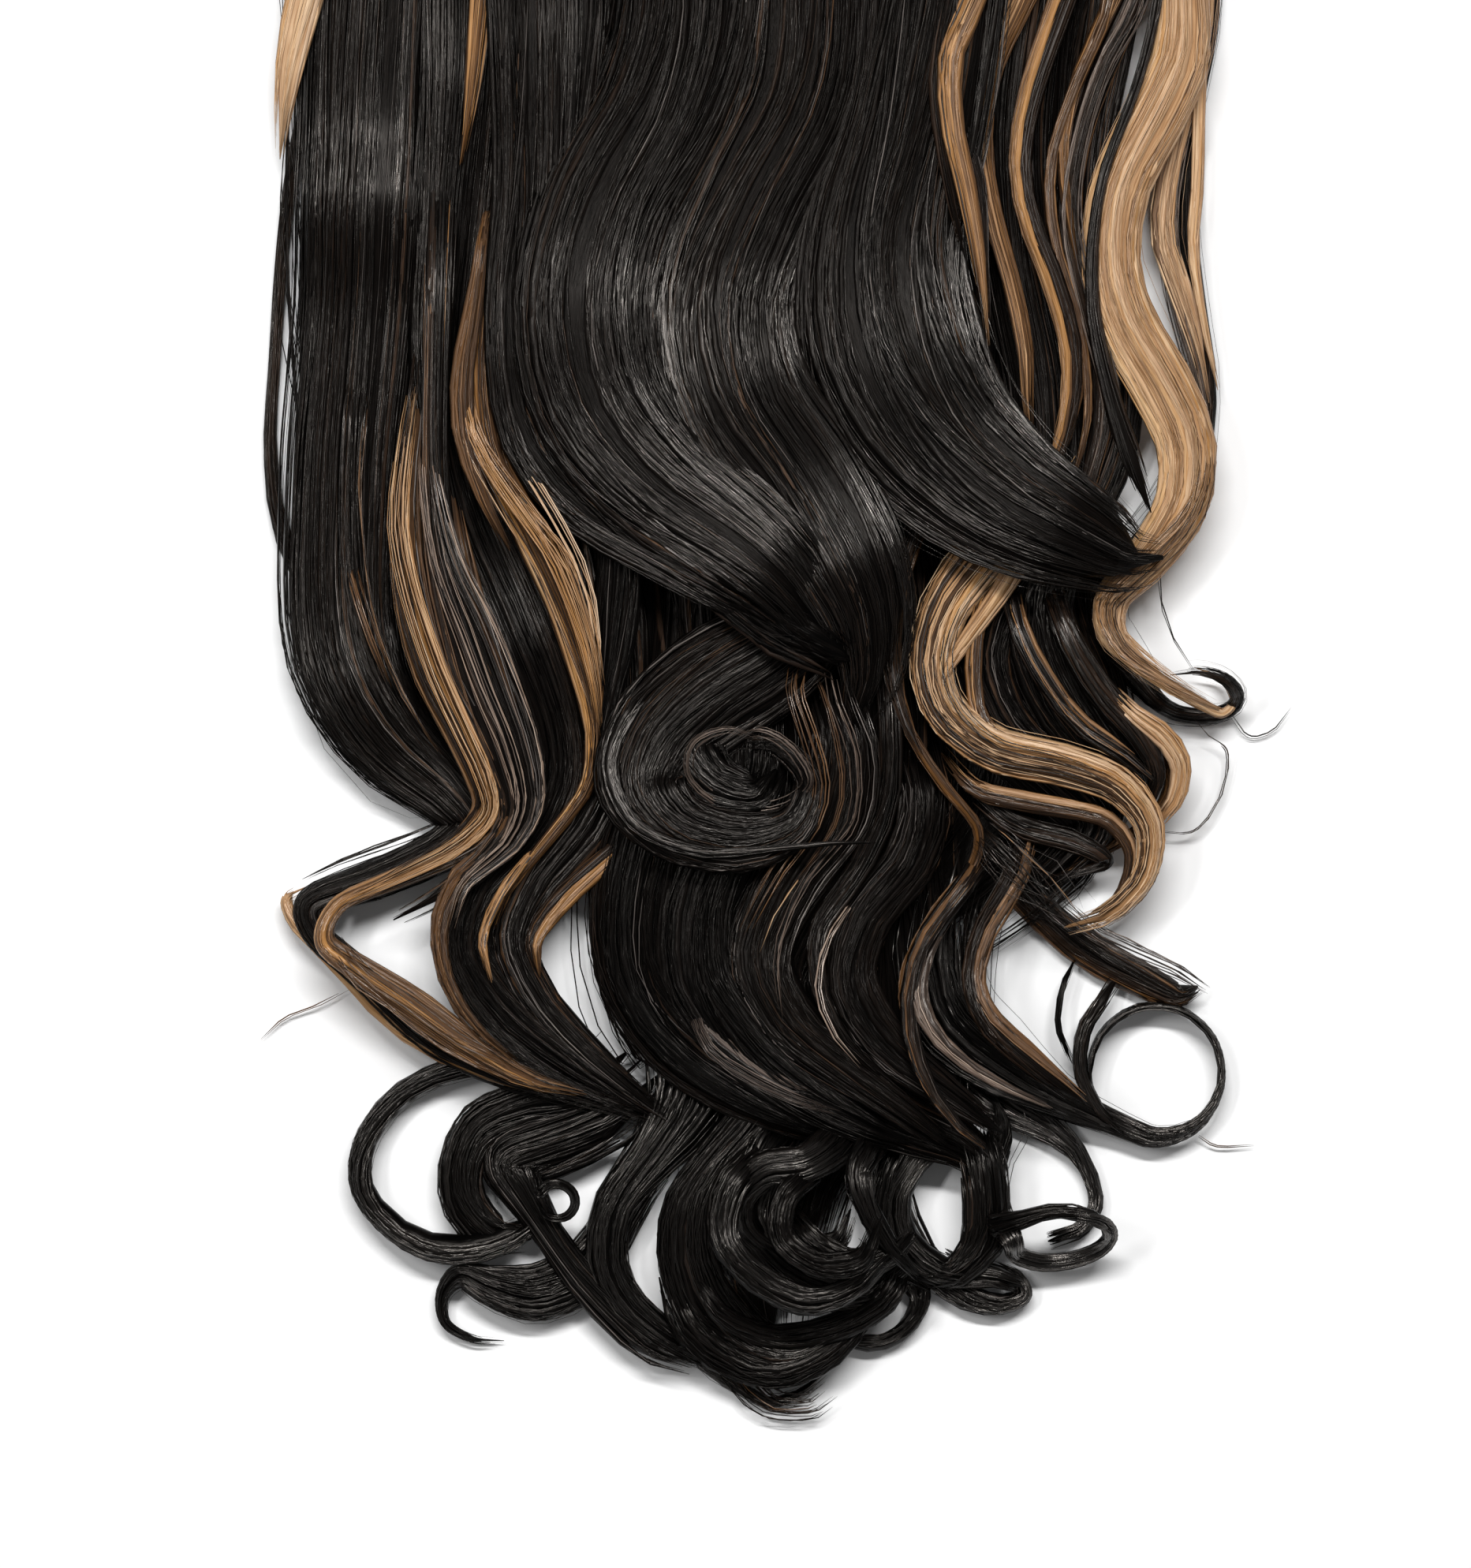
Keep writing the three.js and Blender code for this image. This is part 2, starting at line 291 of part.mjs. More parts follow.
// The places along a lock where it gets a section, closer together where it bends.
function stationsOf(lock) {
  const folds = foldsOf(lock);
  const places = folds.map((f) => new THREE.Vector3(f.across * HALF_WIDTH, -f.down * HAIR_LENGTH, f.rise));
  const route = new THREE.CatmullRomCurve3(places, false, "centripetal");
  const spans = folds.length - 1;
  const stations = [];
  for (let i = 0; i < spans; i++) {
    const [first, middle, last] = [i, i + 0.5, i + 1].map((at) => route.getTangent(at / spans));
    const bend = first.angleTo(middle) + middle.angleTo(last);
    const steps = Math.max(1, Math.ceil(bend / MOST_TURN));
    for (let k = 0; k < steps; k++) {
      stations.push({ start: folds[i], to: folds[i + 1], share: k / steps, at: (i + k / steps) / spans });
    }
  }
  stations.push({ start: folds[spans - 1], to: folds[spans], share: 1, at: 1 });
  return stations.map((s) => ({
    place: route.getPoint(s.at),
    along: route.getTangent(s.at),
    down: THREE.MathUtils.lerp(s.start.down, s.to.down, s.share),
    across: THREE.MathUtils.lerp(s.start.across, s.to.across, s.share),
    wide: THREE.MathUtils.lerp(s.start.wide, s.to.wide, s.share) * HALF_WIDTH,
    thick: THREE.MathUtils.lerp(s.start.thick, s.to.thick, s.share),
    at: s.at,
  }));
}

// The two half axes of a lock's section at a station, and the height of its middle.
function sectionAt(lock, row, station, grow) {
  const rooted = 1 - THREE.MathUtils.smoothstep(station.down, BAND_DEPTH / HAIR_LENGTH, ROOT_SHARE);
  const full = Math.min(station.thick * LOCK_THICKNESS, station.wide * ROUNDEST);
  const thick = THREE.MathUtils.lerp(full, Math.min(TRACK_HEIGHT, full), rooted);
  const roll = THREE.MathUtils.degToRad(lock.roll * THREE.MathUtils.smoothstep(station.at, 0.3, 0.6));
  const side = new THREE.Vector3(0, 0, 1).cross(station.along).normalize();
  const up = station.along.clone().cross(side);
  const across = side.clone().multiplyScalar(Math.cos(roll)).addScaledVector(up, Math.sin(roll));
  const over = up.clone().multiplyScalar(Math.cos(roll)).addScaledVector(side, -Math.sin(roll));
  const reach = Math.abs(across.z) * station.wide / 2 + Math.abs(over.z) * thick / 2;
  const bed = lock.level * PILE_HEIGHT * pileShare(station.across, station.down);
  const lift = WAVE_LIFT * lock.level * (0.5 + station.along.x / 2) * (1 - rooted);
  const lying = reach + bed + lift + Math.max(0, station.place.z);
  const sewn = row.rootHeight + thick / 2;
  return {
    middle: new THREE.Vector3(station.place.x, station.place.y, THREE.MathUtils.lerp(lying, sewn, rooted)),
    halfAcross: across.multiplyScalar(station.wide / 2 + grow),
    halfOver: over.multiplyScalar(thick / 2 + grow),
  };
}

// A lock as a closed tube: a cylinder whose rings are moved to the sections.
function lockGeometry(lock, row, grow) {
  const sections = stationsOf(lock).map((station) => sectionAt(lock, row, station, grow));
  const last = sections.length - 1;
  const tube = new THREE.CylinderGeometry(1, 1, 1, SIDES, last, false, Math.PI / SIDES);
  const position = tube.getAttribute("position");
  for (let i = 0; i < position.count; i++) {
    const section = sections[Math.round((0.5 - position.getY(i)) * last)];
    const point = section.middle.clone()
      .addScaledVector(section.halfAcross, position.getX(i))
      .addScaledVector(section.halfOver, position.getZ(i));
    position.setXYZ(i, point.x, point.y, point.z);
  }
  return tube;
}

// Solids from geometries and back
function solidOf(geometry) {
  const bare = geometry.clone();
  bare.deleteAttribute("normal");
  bare.deleteAttribute("uv");
  const merged = mergeVertices(bare, 1e-4);
  return new wasm.Manifold(new wasm.Mesh({
    numProp: 3,
    vertProperties: merged.getAttribute("position").array,
    triVerts: new Uint32Array(merged.index.array),
  }));
}

function geometryOf(solid) {
  const mesh = solid.getMesh();
  const geometry = new THREE.BufferGeometry();
  geometry.setAttribute("position", new THREE.BufferAttribute(mesh.vertProperties, 3));
  geometry.setIndex(new THREE.BufferAttribute(mesh.triVerts, 1));
  geometry.computeVertexNormals();
  return geometry;
}

// The largest body of a solid, without the slivers and closed pockets that a cut can leave.
function mainBody(solid) {
  const main = solid.decompose().reduce((a, b) => (b.volume() > a.volume() ? b : a));
  return main.simplify(SMOOTHING);
}

function joined(solids) {
  return solids.reduce((a, b) => a.add(b));
}

function boxAt(width, depth, height, x, y, z) {
  return new THREE.BoxGeometry(width, depth, height).translate(x, y, z);
}

// The sewn head of one weft, which its locks grow out of
function trackSolid(row, grow) {
  const [width, depth, height] = [WEFT_WIDTH, TRACK_DEPTH, TRACK_HEIGHT].map((size) => size + 2 * grow);
  return solidOf(boxAt(width, depth, height, 0, 0, row.rootHeight + TRACK_HEIGHT / 2));
}

// Pieces from the top of the pile down. Each is cut clear of all that lie over it.
const rootHeight = (track) => TRACK_BOTTOM + track * TRACK_PITCH;
const [UNDER, HIGHLIGHT, TOP] = [0, 1, 2].map(rootHeight);
const PIECES = [
  { name: "top_hair", material: DARK, locks: TOP_LOCKS, rootHeight: TOP, track: true },
  { name: "highlight_weft", material: TAPE, locks: [], rootHeight: HIGHLIGHT, track: true },
  ...CARAMEL_LOCKS.map((lock) => ({
    name: lock.name,
    material: lock.material,
    locks: [lock],
    rootHeight: HIGHLIGHT,
    track: false,
  })),
  { name: "under_hair", material: DARK, locks: UNDER_LOCKS, rootHeight: UNDER, track: true },
];

function pieceSolid(piece, grow) {
  const locks = piece.locks.map((lock) => solidOf(lockGeometry(lock, piece, grow)));
  return joined(piece.track ? locks.concat(trackSolid(piece, grow)) : locks);
}

function namedMesh(name, geometry, material) {
  const mesh = new THREE.Mesh(geometry, new THREE.MeshStandardMaterial(material));
  mesh.name = name;
  return mesh;
}

function hairGroup() {
  const group = new THREE.Group();
  let above = null;
  for (const piece of PIECES) {
    const whole = pieceSolid(piece, 0);
    const solid = mainBody(above ? whole.subtract(above) : whole);
    group.add(namedMesh(piece.name, geometryOf(solid), piece.material));
    const grown = pieceSolid(piece, CLEARANCE);
    above = above ? above.add(grown) : grown;
  }
  return group;
}

// The tape that the wefts and the clips are sewn to
function weftBand() {
  const band = namedMesh("weft_band", new THREE.BoxGeometry(WEFT_WIDTH, BAND_DEPTH, BAND_THICKNESS), TAPE);
  band.position.z = BAND_BOTTOM + BAND_THICKNESS / 2;
  return band;
}

// A closed snap clip: a comb plate with slots between its teeth, and the bow that presses on it
function clipGeometry() {
  const [w, d, r] = [CLIP_WIDTH / 2, CLIP_DEPTH / 2, CLIP_CORNER];
  const outline = new THREE.Shape();
  outline.moveTo(-w + r, -d).lineTo(w - r, -d).absarc(w - r, -d + r, r, -Math.PI / 2, 0);
  outline.lineTo(w, d - r).absarc(w - r, d - r, r, 0, Math.PI / 2);
  outline.lineTo(-w + r, d).absarc(-w + r, d - r, r, Math.PI / 2, Math.PI);
  outline.lineTo(-w, -d + r).absarc(-w + r, -d + r, r, Math.PI, 1.5 * Math.PI);
  const depth = CLIP_PLATE;
  const plate = new THREE.ExtrudeGeometry(outline, { depth, bevelEnabled: false, curveSegments: 2 });
  const pitch = (CLIP_WIDTH - 2 * CLIP_CORNER) / CLIP_TEETH;
  const slots = Array.from({ length: CLIP_TEETH - 1 }, (_, i) => {
    const [x, y] = [(i + 1 - CLIP_TEETH / 2) * pitch, -CLIP_SLOT_LENGTH / 2];
    return solidOf(boxAt(CLIP_SLOT, CLIP_SLOT_LENGTH, 3 * CLIP_PLATE, x, y, CLIP_PLATE / 2));
  });
  const bow = solidOf(boxAt(
    CLIP_WIDTH - 2 * CLIP_CORNER, CLIP_DEPTH / 3, CLIP_BOW + CLIP_PLATE / 2, 0, CLIP_DEPTH / 4,
    CLIP_PLATE + CLIP_BOW / 2 - CLIP_PLATE / 4));
  return geometryOf(joined([solidOf(plate), bow]).subtract(joined(slots)));
}

function clips() {
  const group = new THREE.Group();
  const geometry = clipGeometry();
  const reach = HALF_WIDTH - CLIP_INSET;
  for (let i = 0; i < CLIP_COUNT; i++) {
    const clip = namedMesh(`clip_${i + 1}`, geometry, STEEL);
    clip.position.x = THREE.MathUtils.lerp(-reach, reach, i / (CLIP_COUNT - 1));
    group.add(clip);
  }
  return group;
}

const extension = new THREE.Group();
extension.name = "clip_in_hair_extension";
extension.add(hairGroup(), weftBand(), clips());

export default extension;
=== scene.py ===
"""A clip-in hair extension with waves, caramel highlights and ringlets, lying face up and seen from above."""

import math

import bpy
import numpy as np
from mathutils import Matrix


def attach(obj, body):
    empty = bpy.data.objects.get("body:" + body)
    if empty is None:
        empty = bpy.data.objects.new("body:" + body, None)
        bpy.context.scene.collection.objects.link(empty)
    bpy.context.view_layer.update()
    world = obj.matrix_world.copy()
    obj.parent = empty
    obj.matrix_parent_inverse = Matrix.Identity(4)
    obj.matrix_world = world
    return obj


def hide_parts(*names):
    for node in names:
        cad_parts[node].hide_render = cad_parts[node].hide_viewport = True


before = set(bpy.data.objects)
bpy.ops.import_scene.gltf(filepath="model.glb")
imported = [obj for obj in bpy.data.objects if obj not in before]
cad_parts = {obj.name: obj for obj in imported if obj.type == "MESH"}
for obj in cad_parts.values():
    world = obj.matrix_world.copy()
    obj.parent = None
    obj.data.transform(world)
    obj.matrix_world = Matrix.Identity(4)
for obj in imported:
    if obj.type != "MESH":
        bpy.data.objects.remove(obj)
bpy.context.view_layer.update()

# Sizes in millimetres, as in the CAD model
WEFT_WIDTH = 260
HALF_WIDTH = WEFT_WIDTH / 2
HAIR_LENGTH = 532
BAND_DEPTH = 14
TRACK_HEIGHT = 2.2
TRACK_BOTTOMS = {"under_hair": 5.6, "highlight_weft": 8.2, "top_hair": 10.8}
LOCK_THICKNESS = 10
PILE_HEIGHT = 16
WAVE_LIFT = 10
CURL_RADIUS = 19
CURL_STEP = 40
ROOT_SHARE = 0.16
ROUNDEST = 1.1
HIGHEST = 41  # that any lock may rise over the surface
MM = 0.001

# The photo's frame on the surface: its width, the share of the hair's length at its top, and its middle
PHOTO_WIDTH = 405.8
PHOTO_HEIGHT = 432.5
PHOTO_TOP = 0.2632
PHOTO_MIDDLE = -3.4

# A fold is (down, across, wide), as shares of the hair's length, the half width and the half width.
TOP_LOCKS = [
    dict(name="front_sweep", level=1, thick=0.9, roll=0, folds=[
        [0, 0.44, 0.3], [0.15, 0.42, 0.3], [0.27, 0.37, 0.3], [0.33, 0.33, 0.3], [0.39, 0.28, 0.32],
        [0.44, 0.3, 0.36], [0.485, 0.39, 0.33], [0.52, 0.54, 0.28], [0.543, 0.71, 0.21],
        [0.554, 0.81, 0.14], [0.553, 0.875, 0.07]]),
    dict(name="centre_wave", level=1, thick=0.9, roll=0, folds=[
        [0, 0.14, 0.28], [0.15, 0.13, 0.28], [0.27, 0.16, 0.27], [0.32, 0.13, 0.26], [0.37, 0.03, 0.26],
        [0.42, -0.04, 0.28], [0.47, -0.01, 0.28], [0.515, 0.11, 0.26], [0.555, 0.2, 0.24],
        [0.585, 0.25, 0.19], [0.615, 0.255, 0.13], [0.64, 0.22, 0.05]]),
    dict(name="centre_swirl", level=0.85, thick=0.9, roll=0, folds=[
        [0.545, 0.16, 0.1], [0.575, 0.15, 0.2], [0.6, 0.05, 0.24], [0.62, -0.08, 0.25],
        [0.645, -0.19, 0.22], [0.67, -0.22, 0.17], [0.692, -0.15, 0.13], [0.7, -0.01, 0.11],
        [0.69, 0.1, 0.08], [0.668, 0.13, 0.06], [0.65, 0.06, 0.045], [0.65, -0.05, 0.035]]),
    dict(name="front_left_wave", level=0.95, thick=0.9, roll=0, folds=[
        [0, -0.16, 0.3], [0.15, -0.16, 0.3], [0.27, -0.12, 0.3], [0.32, -0.17, 0.3], [0.37, -0.28, 0.3],
        [0.42, -0.33, 0.3], [0.47, -0.3, 0.3], [0.51, -0.18, 0.27], [0.54, -0.02, 0.23],
        [0.565, 0.09, 0.19], [0.588, 0.15, 0.13], [0.61, 0.16, 0.05]]),
    dict(name="front_left_inner", level=0.8, thick=0.8, roll=0, folds=[
        [0, -0.44, 0.26], [0.15, -0.43, 0.26], [0.28, -0.42, 0.26], [0.36, -0.43, 0.22],
        [0.43, -0.46, 0.18], [0.485, -0.43, 0.18], [0.517, -0.33, 0.19], [0.54, -0.18, 0.19],
        [0.562, -0.05, 0.16], [0.58, 0.05, 0.11], [0.595, 0.12, 0.05]]),
]

UNDER_LOCKS = [
    dict(name="back_left", level=0, thick=1, roll=0, folds=[
        [0, -0.66, 0.66], [0.3, -0.66, 0.64], [0.56, -0.66, 0.64], [0.62, -0.62, 0.58], [0.66, -0.5, 0.4],
        [0.71, -0.42, 0.2]]),
    dict(name="back_centre", level=0, thick=1, roll=0, folds=[
        [0, 0, 0.8], [0.3, 0, 0.8], [0.66, 0.06, 0.8], [0.76, 0.08, 0.82], [0.82, 0.12, 0.66],
        [0.86, 0.06, 0.36], [0.92, 0.02, 0.32], [0.96, 0.04, 0.24], [0.976, 0.05, 0.12]]),
    dict(name="back_right", level=0, thick=0.9, roll=0, folds=[
        [0, 0.68, 0.6], [0.2, 0.64, 0.5], [0.28, 0.59, 0.38], [0.58, 0.56, 0.38], [0.62, 0.58, 0.46],
        [0.655, 0.6, 0.5], [0.69, 0.56, 0.48], [0.75, 0.34, 0.3]]),
    dict(name="left_outer", level=0.16, thick=1, roll=0, folds=[
        [0, -0.78, 0.3], [0.2, -0.79, 0.3], [0.3, -0.81, 0.28], [0.42, -0.83, 0.25], [0.52, -0.86, 0.24],
        [0.6, -0.85, 0.24], [0.645, -0.76, 0.2], [0.675, -0.63, 0.14], [0.69, -0.59, 0.11],
        [0.703, -0.64, 0.1], [0.72, -0.79, 0.09], [0.733, -0.93, 0.07], [0.746, -0.92, 0.06],
        [0.77, -0.81, 0.07], [0.799, -0.68, 0.08], [0.818, -0.52, 0.08], [0.833, -0.34, 0.06],
        [0.844, -0.18, 0.05], [0.85, -0.06, 0.03]]),
    dict(name="left_inner_fall", level=0.3, thick=0.9, roll=0, folds=[
        [0, -0.58, 0.24], [0.2, -0.58, 0.24], [0.3, -0.59, 0.22], [0.38, -0.62, 0.2], [0.45, -0.64, 0.18],
        [0.52, -0.6, 0.18], [0.58, -0.5, 0.2], [0.63, -0.42, 0.2], [0.665, -0.4, 0.18],
        [0.695, -0.45, 0.17], [0.725, -0.56, 0.14], [0.755, -0.59, 0.13], [0.785, -0.52, 0.14],
        [0.81, -0.4, 0.12], [0.832, -0.26, 0.07], [0.845, -0.17, 0.03]]),
    dict(name="left_second_fall", level=0.3, thick=0.9, roll=0, folds=[
        [0.5, -0.35, 0.18], [0.6, -0.28, 0.14], [0.655, -0.3, 0.14], [0.69, -0.35, 0.14],
        [0.72, -0.45, 0.12], [0.75, -0.5, 0.1], [0.78, -0.45, 0.1], [0.805, -0.36, 0.09],
        [0.83, -0.24, 0.06], [0.845, -0.16, 0.03]]),
    dict(name="right_inner_fall", level=0.3, thick=0.9, roll=0, folds=[
        [0, 0.64, 0.22], [0.2, 0.62, 0.2], [0.28, 0.58, 0.18], [0.33, 0.56, 0.18], [0.4, 0.58, 0.16],
        [0.47, 0.63, 0.16], [0.53, 0.62, 0.16], [0.57, 0.52, 0.16], [0.605, 0.48, 0.16], [0.64, 0.53, 0.14],
        [0.668, 0.64, 0.14], [0.69, 0.72, 0.12], [0.71, 0.66, 0.1], [0.73, 0.56, 0.06]]),
    dict(name="right_outer_fall", level=0.2, thick=0.8, roll=0, folds=[
        [0, 0.82, 0.14], [0.2, 0.81, 0.14], [0.28, 0.77, 0.12], [0.34, 0.72, 0.13], [0.4, 0.72, 0.14],
        [0.45, 0.77, 0.14], [0.49, 0.77, 0.12], [0.53, 0.7, 0.12], [0.57, 0.6, 0.12], [0.6, 0.54, 0.09],
        [0.63, 0.55, 0.06]]),
    dict(name="lower_centre_wave", level=0.3, thick=1.1, roll=0, folds=[
        [0.55, 0.26, 0.22], [0.6, 0.26, 0.22], [0.66, 0.26, 0.24], [0.7, 0.2, 0.26], [0.735, 0.1, 0.26],
        [0.77, 0.04, 0.26], [0.8, 0.09, 0.24], [0.828, 0.22, 0.18], [0.847, 0.36, 0.12],
        [0.858, 0.46, 0.09], [0.872, 0.515, 0.06], [0.888, 0.525, 0.04]]),
    dict(name="lower_left_wave", level=0.3, thick=1, roll=0, folds=[
        [0.6, -0.1, 0.22], [0.65, -0.14, 0.22], [0.69, -0.2, 0.22], [0.73, -0.23, 0.22],
        [0.765, -0.22, 0.22], [0.795, -0.15, 0.21], [0.82, -0.03, 0.19], [0.84, 0.1, 0.13],
        [0.852, 0.22, 0.06]]),
    dict(name="left_rim", hair="mixed", level=0, thick=0.3, roll=0, folds=[
        [0.24, -0.84, 0.05], [0.34, -0.965, 0.03], [0.455, -1.012, 0.025], [0.5, -1.02, 0.03],
        [0.54, -0.995, 0.035], [0.6, -0.86, 0.06]]),
    dict(name="left_ring", level=0.1, thick=0.9, roll=40, folds=[
        [0.81, -0.38, 0.09], [0.813, -0.5, 0.07], [0.818, -0.63, 0.055], [0.832, -0.745, 0.05],
        [0.856, -0.815, 0.05], [0.878, -0.82, 0.05], [0.896, -0.77, 0.05], [0.909, -0.68, 0.06],
        [0.91, -0.58, 0.07], [0.9, -0.48, 0.06], [0.889, -0.44, 0.04]]),
    dict(name="left_lobe", level=0.1, thick=0.9, roll=0, folds=[
        [0.81, -0.26, 0.14], [0.83, -0.36, 0.12], [0.836, -0.47, 0.1], [0.848, -0.57, 0.1],
        [0.868, -0.61, 0.1], [0.888, -0.6, 0.11], [0.904, -0.54, 0.1], [0.906, -0.46, 0.06]]),
    dict(name="left_lobe_inner", level=0.2, thick=0.8, roll=0, folds=[
        [0.82, -0.18, 0.14], [0.842, -0.28, 0.14], [0.856, -0.4, 0.15], [0.867, -0.5, 0.14],
        [0.885, -0.47, 0.08], [0.905, -0.42, 0.06], [0.925, -0.36, 0.08], [0.945, -0.28, 0.09],
        [0.962, -0.2, 0.09], [0.971, -0.1, 0.06]]),
    dict(name="low_left_lobe", level=0.05, thick=0.8, roll=20, folds=[
        [0.84, -0.06, 0.12], [0.87, -0.2, 0.09], [0.9, -0.28, 0.1], [0.924, -0.35, 0.13],
        [0.935, -0.45, 0.14], [0.931, -0.55, 0.1], [0.926, -0.615, 0.05], [0.936, -0.65, 0.026],
        [0.95, -0.645, 0.022], [0.959, -0.585, 0.02], [0.96, -0.52, 0.012]]),
    dict(name="low_centre_left", level=0.2, thick=0.9, roll=0, folds=[
        [0.8, -0.1, 0.3], [0.835, -0.13, 0.18], [0.861, -0.2, 0.1], [0.889, -0.285, 0.09],
        [0.917, -0.3, 0.09], [0.939, -0.26, 0.09], [0.956, -0.18, 0.08], [0.967, -0.1, 0.06]]),
    dict(name="low_centre", level=0.35, thick=0.9, roll=0, folds=[
        [0.8, 0.04, 0.2], [0.84, 0.02, 0.14], [0.863, -0.06, 0.1], [0.886, -0.12, 0.12],
        [0.913, -0.13, 0.14], [0.94, -0.09, 0.15], [0.962, 0, 0.14], [0.968, 0.1, 0.1], [0.955, 0.2, 0.08],
        [0.935, 0.27, 0.06], [0.912, 0.28, 0.04]]),
    dict(name="low_arc", level=0.6, thick=0.8, roll=0, folds=[
        [0.84, 0.1, 0.12], [0.866, 0.03, 0.1], [0.89, 0, 0.09], [0.912, 0.04, 0.09], [0.93, 0.14, 0.08],
        [0.933, 0.25, 0.07], [0.918, 0.34, 0.05]]),
    dict(name="tip_wisp", level=0, thick=0.4, roll=20, folds=[
        [0.94, -0.14, 0.06], [0.968, -0.1, 0.04], [0.984, -0.02, 0.03], [0.992, 0.05, 0.025],
        [0.986, 0.12, 0.018], [0.976, 0.17, 0.012]]),
    dict(name="low_centre_ring", fray=0.06, level=0.5, thick=0.8, roll=20, folds=[
        [0.82, 0.16, 0.14], [0.846, 0.21, 0.12]],
      curl=dict(down=0.889, across=0.1, size=0.8, tilt=30, turn=0,
        start=80, sweep=280, wide=0.08, thick=0.8)),
    dict(name="right_ring_a", level=0.15, thick=0.9, roll=30, folds=[
        [0.81, 0.42, 0.14], [0.842, 0.42, 0.12], [0.862, 0.36, 0.075], [0.884, 0.32, 0.06],
        [0.905, 0.335, 0.06], [0.92, 0.4, 0.07], [0.924, 0.48, 0.06]]),
    dict(name="right_band", fray=0, level=0.25, thick=0.8, roll=30, folds=[
        [0.82, 0.5, 0.16], [0.845, 0.54, 0.14], [0.865, 0.52, 0.08], [0.885, 0.515, 0.08]],
      curl=dict(down=0.905, across=0.66, size=0.72, tilt=60, turn=6,
        start=170, sweep=262, wide=0.045, thick=0.5)),
    dict(name="right_thin_ring", fray=0.03, level=0, thick=0.6, roll=30, folds=[
        [0.8, 0.4, 0.14], [0.83, 0.52, 0.12], [0.848, 0.64, 0.07], [0.861, 0.7, 0.035],
        [0.876, 0.735, 0.028], [0.89, 0.742, 0.028], [0.902, 0.71, 0.035], [0.908, 0.64, 0.04]]),
    dict(name="right_low_lobe", level=0, thick=0.7, roll=20, folds=[
        [0.88, 0.28, 0.14], [0.905, 0.33, 0.1], [0.926, 0.4, 0.07], [0.938, 0.48, 0.06],
        [0.94, 0.55, 0.045], [0.935, 0.588, 0.035], [0.926, 0.57, 0.035], [0.919, 0.51, 0.03]]),
    dict(name="right_low_ring", level=0, thick=0.6, roll=30, folds=[
        [0.9, 0.26, 0.16], [0.922, 0.335, 0.08], [0.938, 0.368, 0.045], [0.952, 0.345, 0.035],
        [0.961, 0.29, 0.035], [0.96, 0.22, 0.04], [0.952, 0.17, 0.04]]),
    dict(name="ringlet_fall", level=0.2, thick=0.9, roll=80, folds=[
        [0.7, 0.46, 0.2], [0.755, 0.4, 0.2], [0.79, 0.43, 0.18], [0.815, 0.54, 0.15], [0.833, 0.66, 0.075]],
      curl=dict(down=0.8195, across=0.868, size=0.96, tilt=0, turn=0,
        start=232, sweep=350, wide=0.048, thick=0.26)),
    dict(name="right_edge", hair="mixed", level=0, thick=0.6, roll=20, folds=[
        [0, 0.96, 0.08], [0.2, 0.975, 0.06], [0.27, 0.98, 0.05], [0.32, 0.95, 0.035], [0.37, 0.938, 0.035],
        [0.42, 0.955, 0.045], [0.46, 0.975, 0.05], [0.5, 0.955, 0.06], [0.54, 0.87, 0.07], [0.57, 0.76, 0.09],
        [0.59, 0.75, 0.11], [0.61, 0.82, 0.07]],
      curl=dict(down=0.623, across=0.95, size=0.6, tilt=60, turn=-8,
        start=215, sweep=280, wide=0.036, thick=0.36)),
    dict(name="right_roll", hair="mixed", level=0, thick=0.6, roll=10, folds=[
        [0.7, 0.5, 0.1], [0.735, 0.62, 0.07], [0.757, 0.73, 0.08], [0.77, 0.83, 0.08], [0.78, 0.92, 0.06],
        [0.775, 0.96, 0.035]]),
]

